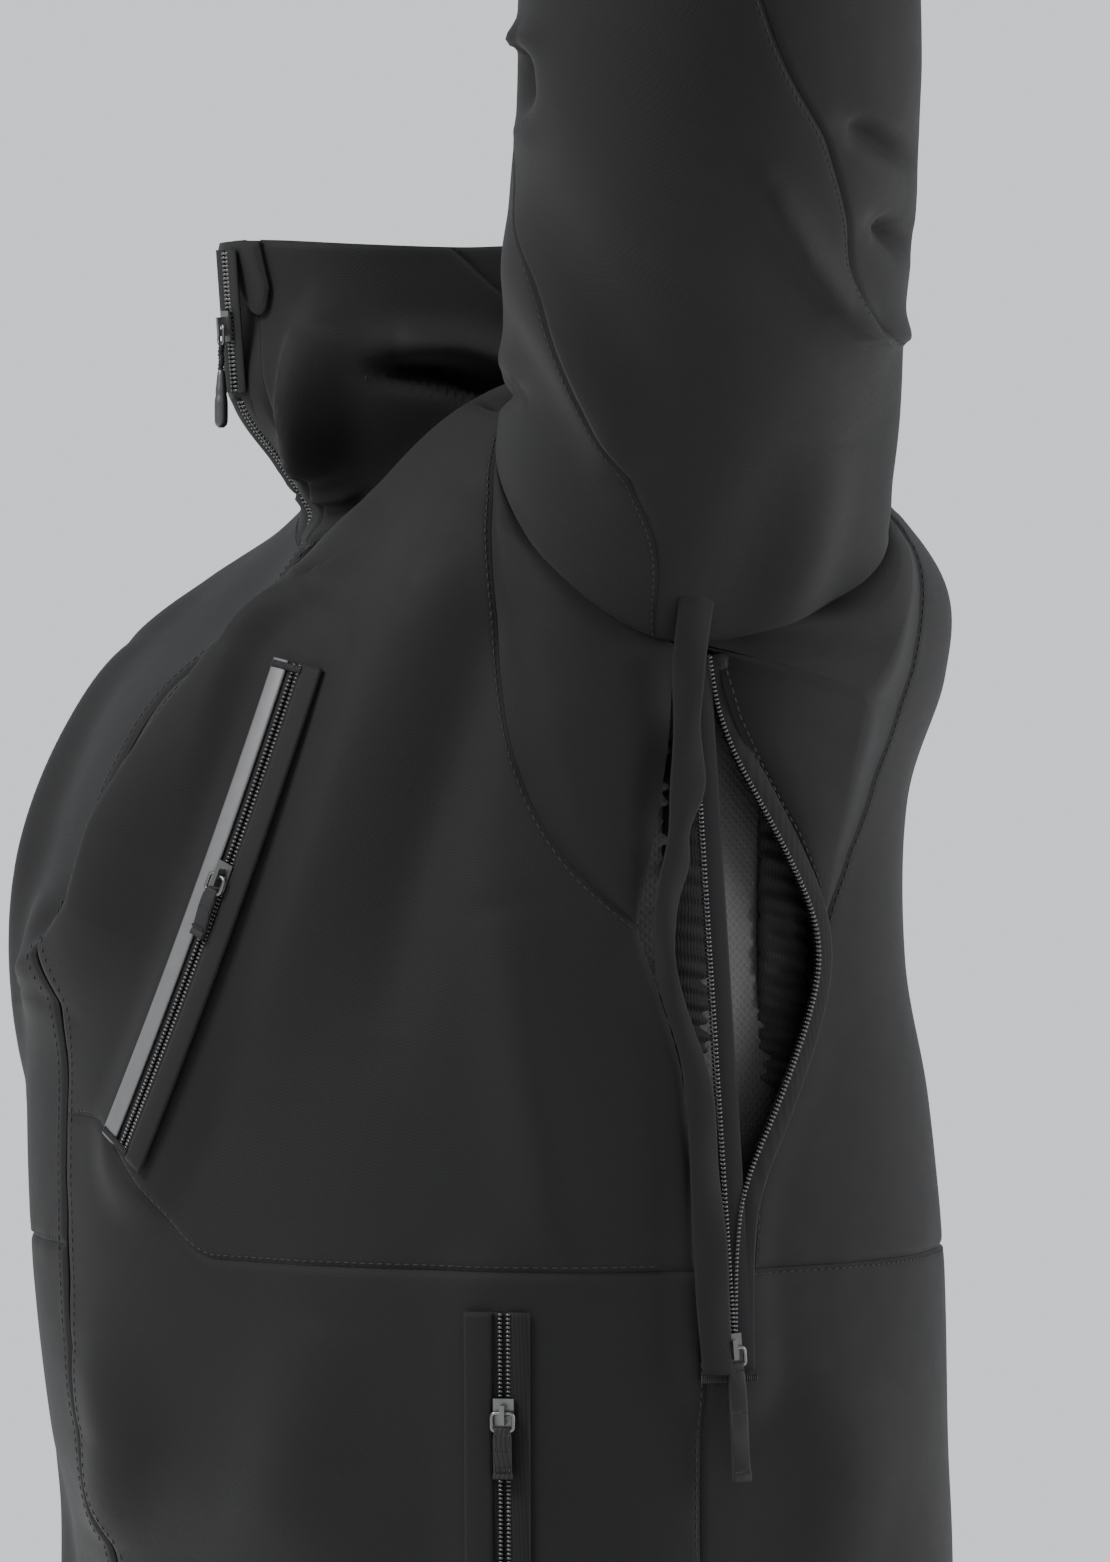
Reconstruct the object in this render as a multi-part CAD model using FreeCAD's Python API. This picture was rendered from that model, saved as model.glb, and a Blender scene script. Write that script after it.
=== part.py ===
"""Ski jacket, worn shape, left arm raised: every cloth panel, zip and fitting as its own solid.

Millimetres. Origin at the middle of the wearer's neck base, +Z up, front towards -Y,
the wearer's left towards +X. The body is one surface over (theta, level): theta turns
from the front middle (0) to the wearer's left (90) and the back (180), and level counts
the rings of RINGS upwards from the hem. A sleeve is a surface over (psi, t) along its arm.
"""
import FreeCAD
import Part
import math
import os

V = FreeCAD.Vector

# ---- driving dimensions (mm) ----
CLOTH = 1.8             # shell fabric
LINING = 1.0            # lining and pocket bags
SEAM_GAP = 0.6          # between neighbouring panels
FRONT_SQUARENESS = 1.85  # superellipse powers of the body's rings
BACK_SQUARENESS = 2.4
COLLAR_SQUARER = 0.35   # added to the front power up the collar
FRONT_EDGE = 11.8       # front panels stop this far from the front middle
TAPE_WIDTH = 8.0        # one side of a zip's tape
TAPE_THICK = 0.7
COIL_WIDTH = 2.4
COIL_THICK = 2.2
COIL_GAP = 1.2          # between the two rows, where the slider's web runs
PLATE = 1.1             # slider plates
SLIDER_LENGTH = 13.0
SLIDER_WIDTH = 8.6
SLOT = 3.2              # height inside the slider
CUFF_LENGTH = 62.0
SLEEVE_SPAN = 65.0      # length of one step of t along a sleeve
WAIST_RISE = 0.8        # how far the left waist seam climbs towards the zip, in levels
WAIST, YOKE, NECK, COLLAR_TOP = 4.1, 9.5, 12.0, 16.0   # levels of the cross seams
SIDE_SEAM = 92.0        # theta of the side seam below the waist

# Rings of the body: height at front, left, back and right; half width left and right;
# depth to the front and to the back; where the widest line lies along Y; and the turn
# of the front about Z in degrees, which lets the open collar lean to one side.
RINGS = [
    (-745, -745, -745, -745, 236, 236, 150, 190, 0, 0),     # 0 hem
    (-600, -600, -600, -600, 236, 236, 150, 193, 0, 0),
    (-482, -482, -482, -482, 232, 232, 157, 193, 0, 0),
    (-425, -425, -425, -425, 230, 230, 171, 190, 0, 0),
    (-349, -349, -349, -349, 230, 230, 181, 186, 0, 0),
    (-280, -280, -280, -280, 232, 230, 183, 176, 0, 0),
    (-221, -221, -221, -221, 234, 228, 180, 162, 0, 0),
    (-180, -150, -160, -160, 235, 226, 172, 163, 0, 0),
    (-140, -88, -115, -118, 235, 220, 156, 184, 0, 0),
    (-110, -38, -80, -84, 228, 204, 136, 186, 0, 0),
    (-84, 8, -46, -58, 186, 170, 102, 158, 0, 0),
    (-64, 30, -18, -38, 130, 126, 78, 116, 0, 4),
    (-50, 6, 10, -16, 82, 80, 70, 76, 0, 8),                # 12 neck seam
    (-30, 18, 28, 0, 76, 76, 66, 73, -4, 14),
    (10, 38, 46, 28, 75, 75, 90, 72, -12, 15),
    (49, 58, 62, 54, 74, 74, 80, 76, -22, 8),
    (79, 77, 76, 77, 72, 72, 80, 82, -28, 6),               # 16 collar top
]

# Armholes on the body, (theta, level) every 45 degrees of alpha: 0 back, 90 top, 180 front.
ARMHOLES = {
    1: [(121, 9.55), (114, 10.4), (96, 10.95), (80, 10.75),
        (72, 9.9), (76, 8.8), (89, 8.05), (109, 8.5)],
    -1: [(127, 8.65), (116, 10.05), (90, 10.65), (64, 10.05),
         (53, 8.65), (64, 7.25), (90, 6.65), (116, 7.25)],
}

# Arms: points of each sleeve's middle line, its radii there, and a vector across its front.
ARM_POINTS = {
    1: [V(180, 34, -22), V(238, 10, 42), V(290, -12, 98), V(336, -31, 150), V(348, -40, 204),
        V(320, -50, 246), V(270, -62, 276), V(212, -74, 308), V(156, -86, 340)],
    -1: [V(-208, 6, -122), V(-276, 14, -158), V(-328, 26, -228), V(-344, 38, -298),
         V(-349, 44, -363), V(-351, 46, -425), V(-352, 46, -486), V(-353, 44, -547),
         V(-353, 40, -608)],
}
ARM_RADII = [90, 86, 82, 81, 78, 73, 69, 65, 58]
ARM_FRONT = {1: V(-0.036, -0.94, -0.342), -1: V(0, -1, 0)}

parts = {}


# ---- small mathematics ----
def smooth(values, t):
    """The value at fractional index t of a list, by a Catmull-Rom curve."""
    last = len(values) - 1
    i = max(0, min(last - 1, int(math.floor(t))))
    f = t - i
    p0, p1, p2, p3 = (values[max(0, min(last, i + k))] for k in (-1, 0, 1, 2))
    return (p1 * 2 + (p2 - p0) * f + (p0 * 2 - p1 * 5 + p2 * 4 - p3) * f * f
            + (p1 * 3 - p0 - p2 * 3 + p3) * f ** 3) * 0.5


def smoothstep(t):
    t = max(0.0, min(1.0, t))
    return t * t * (3 - 2 * t)


def ring_values(level):
    return [smooth([float(row[k]) for row in RINGS], level) for k in range(10)]


def body_skin(theta, level):
    """Point of the body's outside at an angle (degrees) and a level."""
    z_front, z_left, z_back, z_right, left, right, front, back, y_mid, turn = ring_values(level)
    s, c = math.sin(math.radians(theta)), math.cos(math.radians(theta))
    z_side = z_left if s >= 0 else z_right
    z_end = z_front if c >= 0 else z_back
    height = z_side * s * s + z_end * c * c
    turned = math.radians(theta + turn * (1 + c) / 2)
    s, c = math.sin(turned), math.cos(turned)
    width = left if s >= 0 else right
    depth, power = back, BACK_SQUARENESS
    if c >= 0:
        depth, power = front, FRONT_SQUARENESS + COLLAR_SQUARER * smoothstep((level - 11) / 2)
    radius = (abs(s / width) ** power + abs(c / depth) ** power) ** (-1 / power)
    return V(radius * s, y_mid - radius * c, height)


def front_middle(level):
    """Where the front edges meet: in the plane X = 0, whatever the ring's turn."""
    low, high = -30.0, 30.0
    for _ in range(30):
        middle = (low + high) / 2
        if body_skin(middle, level).x < 0:
            low = middle
        else:
            high = middle
    return body_skin(low, level)


def body_normal(theta, level):
    across = body_skin(theta + 0.5, level) - body_skin(theta - 0.5, level)
    up = body_skin(theta, level + 0.02) - body_skin(theta, level - 0.02)
    return across.cross(up).normalize()


def body(theta, level, lift=0.0):
    return body_skin(theta, level) + body_normal(theta, level) * lift


def theta_at_x(level, x, side=1):
    """The front angle at which the body's ring stands x to one side of the middle."""
    low, high = -20.0, 80.0
    for _ in range(30):
        middle = (low + high) / 2
        if side * body_skin(side * middle, level).x < x:
            low = middle
        else:
            high = middle
    return low


def armhole(side, alpha):
    """(theta, level) on an armhole: alpha 180 front, 270 bottom, 0 back, 90 top."""
    ring = ARMHOLES[side]
    ring = ring[-1:] + ring + ring[:2]
    place = (alpha % 360) / 45 + 1
    theta, level = (smooth([float(p[k]) for p in ring], place) for k in (0, 1))
    return side * theta, level


def waist(theta):
    """Level of the waist seam, which climbs towards the zip on the left front only."""
    if theta <= 0 or theta >= 90:
        return WAIST
    return WAIST + WAIST_RISE * (1 - smoothstep((theta - 10) / 24))


def sleeve(side, psi, t, lift=0.0):
    """Point of a sleeve: psi 0 front, 90 under the arm, 180 back, 270 top; t 0 to 8 along it."""
    middle = smooth(ARM_POINTS[side], t)
    along = (smooth(ARM_POINTS[side], t + 0.02) - smooth(ARM_POINTS[side], t - 0.02)).normalize()
    front = ARM_FRONT[side] - along * along.dot(ARM_FRONT[side])
    front.normalize()
    under = along.cross(front) * side
    a = math.radians(psi)
    round_arm = (front * math.cos(a) + under * math.sin(a)) * smooth(ARM_RADII, t)
    theta, level = armhole(side, 180 + psi)
    at_armhole = body_skin(theta, level) - ARM_POINTS[side][0]
    share = smoothstep(t / 2.2)
    spoke = at_armhole * (1 - share) + round_arm * share
    start = body_skin(theta, level) + body_normal(theta, level) * lift
    point = middle + spoke * (1 + lift / spoke.Length)
    near = smoothstep(1 - t / 0.6)
    return point * (1 - near) + (start + middle - ARM_POINTS[side][0]) * near


# ---- building blocks ----
def curve(points):
    """A smooth path through hand-placed (a, b) pairs, as a function of 0 to 1."""
    firsts = [float(p[0]) for p in points]
    seconds = [float(p[1]) for p in points]
    span = len(points) - 1
    return lambda t: (smooth(firsts, t * span), smooth(seconds, t * span))


def even_levels(points):
    """The smooth path through points, run through at an even pace of its second coordinate."""
    path = curve(points)
    first, last = points[0][1], points[-1][1]

    def at(t):
        goal = first + (last - first) * t
        low, high = 0.0, 1.0
        for _ in range(30):
            middle = (low + high) / 2
            if path(middle)[1] < goal:
                low = middle
            else:
                high = middle
        return path(low)[0], goal
    return at


def coons(bottom, top, left, right):
    """A four-sided patch of a surface's (a, b) plane between four curves."""
    def domain(u, v):
        result = []
        for k in (0, 1):
            ruled_v = bottom(u)[k] * (1 - v) + top(u)[k] * v
            ruled_u = left(v)[k] * (1 - u) + right(v)[k] * u
            corners = ((bottom(0)[k] * (1 - u) + bottom(1)[k] * u) * (1 - v)
                       + (top(0)[k] * (1 - u) + top(1)[k] * u) * v)
            result.append(ruled_v + ruled_u - corners)
        return result
    return domain


def solid_from(faces):
    shell = Part.makeShell(faces)
    shell.sewShape()
    solid = Part.Solid(Part.Shell(shell.Faces))
    if solid.Volume < 0:
        solid.reverse()
    return solid


SAME_WAY = 1        # both edges of a ruled face run the same way


def sheet(skin, domain, low, high, across=10, along=10):
    """A closed sheet of cloth on skin(a, b, lift) between two lifts."""
    surfaces = []
    for lift in (low, high):
        grid = []
        for i in range(across + 1):
            grid.append([skin(*domain(i / across, j / along), lift) for j in range(along + 1)])
        surface = Part.BSplineSurface()
        surface.interpolate(grid)
        surfaces.append(surface)
    inside, outside = surfaces
    faces = [inside.toShape(), outside.toShape()]
    u0, u1, v0, v1 = inside.bounds()
    w0, w1, x0, x1 = outside.bounds()
    for a, b in ((u0, w0), (u1, w1)):
        edges = inside.uIso(a).toShape(), outside.uIso(b).toShape()
        faces.append(Part.makeRuledSurface(*edges, SAME_WAY))
    for a, b in ((v0, x0), (v1, x1)):
        edges = inside.vIso(a).toShape(), outside.vIso(b).toShape()
        faces.append(Part.makeRuledSurface(*edges, SAME_WAY))
    return solid_from(faces)


def straight(a, b):
    return lambda t: (a[0] + (b[0] - a[0]) * t, a[1] + (b[1] - a[1]) * t)


def oblong(skin, theta_0, theta_1, level_0, level_1, low, high, across=10, along=10):
    domain = coons(straight((theta_0, level_0), (theta_1, level_0)),
                   straight((theta_0, level_1), (theta_1, level_1)),
                   straight((theta_0, level_0), (theta_0, level_1)),
                   straight((theta_1, level_0), (theta_1, level_1)))
    return sheet(skin, domain, low, high, across, along)


def ribbon(path, wide, low, high, shift=0.0, steps=8, ruled=False):
    """A strip along path(t) = (point, normal, across): wide along across, low to high on normal."""
    sections = []
    for i in range(steps + 1):
        point, normal, across = path(i / steps)
        a, b = shift - wide / 2, shift + wide / 2
        corners = [point + across * a + normal * low, point + across * b + normal * low,
                   point + across * b + normal * high, point + across * a + normal * high]
        sections.append(Part.makePolygon(corners + corners[:1]))
    return Part.makeLoft(sections, True, ruled or steps == 1)


def rail(start, end, normal):
    """A straight path with a fixed normal."""
    along = (end - start).normalize()
    across = normal.cross(along).normalize()
    flat = along.cross(across).normalize()
    return lambda t: (start + (end - start) * t, flat, across)


def bow(start, middle, end, outward):
    """A path along the circle through three points, its frame turning about the circle's axis."""
    arc = Part.Arc(start, middle, end).toShape()
    circle = arc.Curve
    first, last = arc.ParameterRange
    half = (first + last) / 2
    along = arc.tangentAt(half)
    across = outward.cross(along).normalize()
    normal = along.cross(across).normalize()

    def at(t):
        angle = first + (last - first) * t
        turn = FreeCAD.Rotation(circle.Axis, math.degrees(angle - half))
        return arc.valueAt(angle), turn.multVec(normal), turn.multVec(across)
    return at


def box(wide, deep, high, at=V(0, 0, 0)):
    return Part.makeBox(wide, deep, high, V(at.x - wide / 2, at.y - deep / 2, at.z))


def placed(shape, origin, across, normal):
    """Move a shape made with X across, Y along and Z outward to its place."""
    along = normal.cross(across)
    turn = FreeCAD.Rotation(across, along, normal, "ZXY")
    shape.Placement = FreeCAD.Placement(origin, turn)
    return shape


def group(solids):
    return Part.makeCompound(solids)


def mirror_if(side, pairs):
    return [(side * a, b) for a, b in pairs]


# ---- zips ----
def zip_row(path, hand, steps=8, ruled=False):
    """One side of a zip: its coil and its tape, hand +1 or -1 across the path."""
    coil_middle = hand * (COIL_GAP + COIL_WIDTH) / 2
    tape_inner = COIL_GAP / 2 + COIL_WIDTH
    tape_middle = hand * (tape_inner + TAPE_WIDTH / 2)
    coil = ribbon(path, COIL_WIDTH, -COIL_THICK / 2, COIL_THICK / 2, coil_middle, steps, ruled)
    tape = ribbon(path, TAPE_WIDTH, -TAPE_THICK / 2, TAPE_THICK / 2, tape_middle, steps, ruled)
    return [coil, tape]


def slider_shape():
    """Zip slider: two plates joined by a thin web, with a lug on top. Its wide end is at -Y."""
    half = SLOT / 2
    lower = box(SLIDER_WIDTH, SLIDER_LENGTH, PLATE, V(0, 0, -half - PLATE))
    upper = box(SLIDER_WIDTH, SLIDER_LENGTH, PLATE, V(0, 0, half))
    web = box(0.5, 4.0, SLOT, V(0, SLIDER_LENGTH / 2 - 2.0, -half))
    lug = box(2.2, 8.0, 3.6, V(0, 0, half + PLATE))
    eye = Part.makeCylinder(1.2, 4.0, V(-2.0, 0, half + PLATE + 1.9), V(1, 0, 0))
    return lower.fuse([upper, web, lug]).cut(eye).removeSplitter()


LUG_EYE = SLOT / 2 + PLATE + 1.9     # height of the lug's eye over the zip


def loop_shape(width, length, wire):
    """A wire loop hanging from an eye on X at the origin: its far bar lies at -Y."""
    bar = Part.makeCylinder(wire, width, V(-width / 2, 0, 0), V(1, 0, 0))
    far = Part.makeCylinder(wire, width, V(-width / 2, -length, 0), V(1, 0, 0))
    solids = [far]
    for x in (-width / 2, width / 2):
        solids.append(Part.makeCylinder(wire, length, V(x, -length, 0), V(0, 1, 0)))
        for y in (0, -length):
            solids.append(Part.makeSphere(wire, V(x, y, 0)))
    return bar.fuse(solids)


def cord_puller_shape(length):
    """Wire loop, short cord and moulded tip, hanging along -Y."""
    loop = loop_shape(5.2, 7.0, 0.7)
    cord = Part.makeCylinder(1.3, 12.0, V(0, -6.8, 0), V(0, -1, 0))
    tip = Part.makeCone(2.0, 2.9, length - 18.0, V(0, -18.0, 0), V(0, -1, 0))
    end = Part.makeSphere(2.9, V(0, -length, 0))
    return loop.fuse([cord, tip, end])


def tape_puller_shape(length):
    """Wire ring and a folded tape pull, hanging along -Y."""
    loop = loop_shape(8.4, 6.0, 0.8)
    fold = box(7.6, length, 2.4, V(0, -4.6 - length / 2, -1.2))
    grip = box(8.4, 7.0, 3.4, V(0, -length, -1.7))
    return loop.fuse([fold, grip])


def add_slider(name, origin, along_down, normal, puller, free=False):
    """A slider at a place on its zip; its puller lies along the zip, or hangs plumb if free."""
    across = normal.cross(along_down).normalize()
    parts[name + "_slider"] = placed(slider_shape(), origin, across, normal)
    hang = origin + normal * LUG_EYE
    if free:
        normal = V(0, -1, 0)
    parts[name + "_puller"] = placed(puller, hang, across, normal)


# ---- body panels ----
def side_edge(side):
    """Outer edge of a front panel: up the side, along the underarm seam, round the armhole."""
    if side == 1:
        points = [(90.3, WAIST), (88.6, 5.3), (84.8, 6.3), (78.2, 6.65), (73.6, 7.15), (70.9, 7.9), (70.2, 9.0)]
        turns = (176, 150, 135, 122, 110)
    else:
        points = [(90.3, WAIST), (88.4, 4.8), (84, 5.5), (76, 6.0), (68, 6.6), (60, 7.4), (54, 8.2)]
        turns = (168, 150, 135, 120, 105, 95)
    for alpha in turns:
        theta, level = armhole(side, alpha)
        points.append((abs(theta) - 0.5, level + 0.02))
    points.append((85, 11.4))
    points.append((84, NECK - 0.03))
    return points


def front_upper(side):
    edge = curve(mirror_if(side, side_edge(side)))
    first = waist(side * 5)
    levels = [first + (NECK - 0.03 - first) * k / 8 for k in range(9)]
    closing = curve([(side * theta_at_x(level, FRONT_EDGE, side), level) for level in levels])
    inner, outer = closing(0)[0], edge(0)[0]
    bottom = waist_line(inner, outer, 0.02)
    domain = coons(bottom, straight(closing(1), edge(1)), closing, edge)
    return sheet(body, domain, -CLOTH, 0, 16, 28)


def waist_line(theta_0, theta_1, nudge):
    """The waist seam between two angles, moved up or down by a nudge."""
    def line(t):
        theta = theta_0 + (theta_1 - theta_0) * t
        return theta, waist(theta) + nudge
    return line


def front_lower(side):
    last = waist(side * 5) - 0.02
    closing = curve([(side * theta_at_x(last * k / 4, FRONT_EDGE, side), last * k / 4) for k in range(5)])
    edge = straight((side * (SIDE_SEAM - 0.2), 0), (side * (SIDE_SEAM - 0.2), WAIST - 0.02))
    top = waist_line(closing(1)[0], edge(1)[0], -0.02)
    domain = coons(straight(closing(0), edge(0)), top, closing, edge)
    return sheet(body, domain, -CLOTH, 0, 16, 16)


def underarm_front(side):
    """Panel between the underarm seam, the armhole's lower front and the pit zip."""
    seam = [(a + 1.2, b) for a, b in side_edge(side)[2:7]]
    theta, level = armhole(side, 182)
    seam.append((abs(theta) + 0.7, level - 0.02))
    bottom_level = armhole(side, 270)[1]
    start = seam[0][1]
    zip_edge = [(86.8, start), (87.0, (start + bottom_level) / 2), (87.2, bottom_level - 0.06)]
    for alpha in (250, 232, 214, 196):
        theta, level = armhole(side, alpha)
        zip_edge.append((abs(theta), level - 0.05))
    left = curve(mirror_if(side, seam))
    right = curve(mirror_if(side, zip_edge))
    domain = coons(straight(left(0), right(0)), straight(left(1), right(1)), left, right)
    return sheet(body, domain, -CLOTH, 0, 8, 20)


PIT_BACK = {1: [(96.6, WAIST), (98.5, 4.8), (104, 5.6), (107.5, 6.3), (103, 7.0), (97, 7.5), (95, 7.8)],
            -1: [(94.6, WAIST), (94.6, 4.6), (94.6, 5.3), (94.6, 5.9), (94.6, 6.3), (94.6, 6.6)]}
BACK_SEAM = {1: [(107.5, 6.3), (111, 6.7), (117, 7.3), (122.5, 8.1), (124.5, 8.9)],
             -1: [(95, 5.5), (104, 5.9), (116, 6.5), (126, 7.3), (129, 8.2)]}


def underarm_back(side):
    """Panel between the pit zip's back edge, the armhole's lower back and the back seam."""
    seam = [(a - 2.4, b) for a, b in BACK_SEAM[side]]
    lower = PIT_BACK[side][3:] if side == 1 else PIT_BACK[side][2:]
    edge = [(a, b + 0.04) for a, b in lower]
    for alpha in (282, 300, 318, 336):
        theta, level = armhole(side, alpha)
        edge.append((abs(theta), level - 0.05))
    edge[0] = (edge[0][0] - 3.2, edge[0][1] + 0.05)
    seam[0] = (edge[0][0] + 1.4, edge[0][1])
    left = curve(mirror_if(side, edge))
    right = curve(mirror_if(side, seam))
    domain = coons(straight(left(0), right(0)), straight(left(1), right(1)), left, right)
    return sheet(body, domain, -CLOTH, 0, 8, 20)


def back_edge(side):
    """Side edge of the upper back: pit zip, back seam, then the armhole up to the yoke."""
    zip_count = 4 if side == 1 else 3
    points = [(a + 0.3, b) for a, b in PIT_BACK[side][:zip_count]]
    points = points + [(a + 0.5, b) for a, b in BACK_SEAM[side][1:]]
    theta, level = armhole(side, 0 if side == 1 else 8)
    points.append((abs(theta) + 0.8, YOKE - 0.03))
    return points


def back_upper():
    left = curve(back_edge(1))
    right = curve([(360 - a, b) for a, b in back_edge(-1)])
    domain = coons(straight(left(0), right(0)), straight(left(1), right(1)), left, right)
    return sheet(body, domain, -CLOTH, 0, 24, 20)


def back_yoke():
    left = [(armhole(1, 0)[0] + 1.2, YOKE + 0.02)]
    right = [(360 + armhole(-1, 25)[0] - 1.2, YOKE + 0.02)]
    for alpha in (20, 40, 60, 80, 100):
        theta, level = armhole(1, alpha)
        left.append((theta + 0.8, level + 0.02))
    for alpha in (40, 55, 70, 85):
        theta, level = armhole(-1, alpha)
        right.append((360 + theta - 0.8, level + 0.02))
    left = curve(left + [(87.2, 11.4), (85.5, NECK - 0.03)])
    right = curve(right + [(273.5, 11.4), (274.5, NECK - 0.03)])
    domain = coons(straight(left(0), right(0)), straight(left(1), right(1)), left, right)
    return sheet(body, domain, -CLOTH, 0, 24, 16)


def add_body():
    for side, hand in ((1, "left"), (-1, "right")):
        parts["front_upper_" + hand] = front_upper(side)
        parts["front_lower_" + hand] = front_lower(side)
        parts["underarm_front_" + hand] = underarm_front(side)
        parts["underarm_back_" + hand] = underarm_back(side)
    parts["back_upper"] = back_upper()
    parts["back_yoke"] = back_yoke()
    parts["back_lower"] = oblong(body, SIDE_SEAM + 0.2, 359.8 - SIDE_SEAM, 0, WAIST - 0.02, -CLOTH, 0, 24, 16)
    parts["hem_facing"] = oblong(body, 6, 354, 0.01, 0.22, -CLOTH - 1.6, -CLOTH - 0.4, 48, 3)


# ---- sleeves ----
CUFF_START = 8 - CUFF_LENGTH / SLEEVE_SPAN
SLEEVE_START = 0.06
BACK_SEAM_PSI = 212     # where the front panel, passing over the top, meets the others again
FRONT_SEAM = {1: [(84, SLEEVE_START), (79, 0.5), (63, 0.85), (44, 1.15), (27, 1.55), (6, 1.98),
                  (-25, 2.3), (-58, 3.2), (-72, 5), (-78, CUFF_START)],
              -1: [(84, SLEEVE_START), (76, 1), (62, 2), (46, 3), (34, 4), (28, 5), (24, 6),
                   (22, CUFF_START)]}
ELBOW_SEAM = {1: [(150, 1.22), (118, 1.66), (105, 2.1), (101, 2.6), (94, 3.0), (80, 3.5), (72, 4.4),
                  (68, 5.6), (66, CUFF_START)],
              -1: [(150, 1.9), (118, 2.3), (105, 2.7), (98, 3.1), (90, 3.6), (82, 4.2), (74, 5),
                   (70, 6), (68, CUFF_START)]}


def add_sleeve(side, hand):
    def skin(psi, t, lift):
        return sleeve(side, psi, t, lift)

    def add(name, left, right, across, along):
        domain = coons(straight(left(0), right(0)), straight(left(1), right(1)), left, right)
        parts[name + hand] = sheet(skin, domain, -CLOTH, 0, across, along)

    elbow_line = ELBOW_SEAM[side]
    elbow_foot = elbow_line[0][1] - 0.12
    over = straight((BACK_SEAM_PSI - 359.5, SLEEVE_START), (BACK_SEAM_PSI - 359.5, CUFF_START))
    add("sleeve_front_", over, even_levels(FRONT_SEAM[side]), 20, 44)

    beside_seam = curve([(psi + 0.9, t) for psi, t in FRONT_SEAM[side]])
    back = BACK_SEAM_PSI - 0.6
    around = [(back, SLEEVE_START), (back, elbow_foot * 0.5), (back - 5, elbow_foot - 0.2),
              (back - 28, elbow_foot - 0.03)]
    around = curve(around + [(psi - 1.2, t - 0.04) for psi, t in elbow_line])
    add("sleeve_outer_", beside_seam, around, 16, 32)
    add("elbow_panel_", curve(elbow_line), straight((back, elbow_foot + 0.05), (back, CUFF_START)), 16, 24)

    parts["cuff_" + hand] = oblong(skin, 150.3, 509.7, CUFF_START + 0.02, 8, -CLOTH - 0.8, 0.4, 32, 4)
    parts["cuff_tab_" + hand] = oblong(skin, 100, 168, CUFF_START + 0.3, CUFF_START + 0.72, 0.8, 2.6, 8, 3)


# ---- collar ----
def add_collar():
    for side, hand in ((1, "left"), (-1, "right")):
        closing = curve([(side * theta_at_x(level, FRONT_EDGE, side), level)
                         for level in (NECK + 0.02, 13, 14, 15, COLLAR_TOP)])
        seam = curve([(side * 88, NECK + 0.02), (side * 96, 13), (side * 99, 14),
                      (side * 92, 15), (side * 80, COLLAR_TOP)])
        domain = coons(straight(closing(0), seam(0)), straight(closing(1), seam(1)), closing, seam)
        parts["collar_front_" + hand] = sheet(body, domain, -CLOTH, 0, 8, 12)
    left = curve([(88.8, NECK + 0.02), (96.8, 13), (99.8, 14), (92.8, 15), (80.8, COLLAR_TOP)])
    right = curve([(271.2, NECK + 0.02), (263.2, 13), (260.2, 14), (267.2, 15), (279.2, COLLAR_TOP)])
    domain = coons(straight(left(0), right(0)), straight(left(1), right(1)), left, right)
    parts["collar_back"] = sheet(body, domain, -CLOTH, 0, 16, 12)
    parts["collar_lining"] = oblong(body, 16, 344, NECK + 0.1, COLLAR_TOP - 0.05,
                                    -CLOTH - 1.2 - LINING, -CLOTH - 1.2, 48, 14)


# ---- main zip, down the front middle ----
ZIP_TOP = V(0, -109.0, 76.0)            # the collar's stretch is straight, so the slider can run on it
ZIP_BEND = V(0, -104.5, 16.0)
MAIN_SLIDER_Z = 44.0
CHEST_ZIP_TOP = 14.05                   # level where the lower, curved stretch ends


def add_main_zip():
    chain = []
    collar_rail = rail(ZIP_BEND, ZIP_TOP, V(0, -1, 0))
    for hand in (1, -1):
        chain = chain + zip_row(collar_rail, hand, 1)

    def chest(t):
        level = 0.05 + (CHEST_ZIP_TOP - 0.05) * t
        along = front_middle(level + 0.02) - front_middle(level - 0.02)
        normal = V(0, -along.z, along.y).normalize()
        return front_middle(level), normal, V(-1, 0, 0)

    for hand in (1, -1):
        chain = chain + zip_row(chest, hand, 64, True)
    parts["main_zip_chain"] = group(chain)

    share = (ZIP_TOP.z - MAIN_SLIDER_Z) / (ZIP_TOP.z - ZIP_BEND.z)
    origin = ZIP_TOP + (ZIP_BEND - ZIP_TOP) * share
    down = (ZIP_BEND - ZIP_TOP).normalize()
    normal = collar_rail(0)[1]
    add_slider("main_zip", origin, down, normal, cord_puller_shape(40.0), True)
    parts["storm_placket"] = oblong(body, -9, 9, 0.25, NECK - 0.1, -CLOTH - 4.6, -CLOTH - 2.8, 4, 40)

    guard = curve([(6, 15.1), (5, 15.5), (5, 16)])
    far = curve([(20, 14.9), (21, 15.5), (21, 16)])
    domain = coons(straight(guard(0), far(0)), straight(guard(1), far(1)), guard, far)
    parts["chin_guard"] = sheet(body, domain, 0.5, 2.3, 6, 6)


# ---- pockets ----
CHEST_ZIP = ((46.5, 8.35), (38.8, 6.9), (20.0, 4.72))        # top, middle, bottom
CHEST_LIFT = 7.5
CHEST_SLIDER = 0.42         # where the sliders stand along their zips
HAND_ZIP = ((71.8, 3.88), (72.2, 1.75))
HAND_LIFT = 5.0
HAND_SLIDER = 0.28
WELT_SHIFT = 9.3            # from the zip's middle to the welt's
CHEST_WELT, HAND_WELT = 8.8, 9.0
WELT_LOW, WELT_HIGH = 0.7, 2.1


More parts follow.
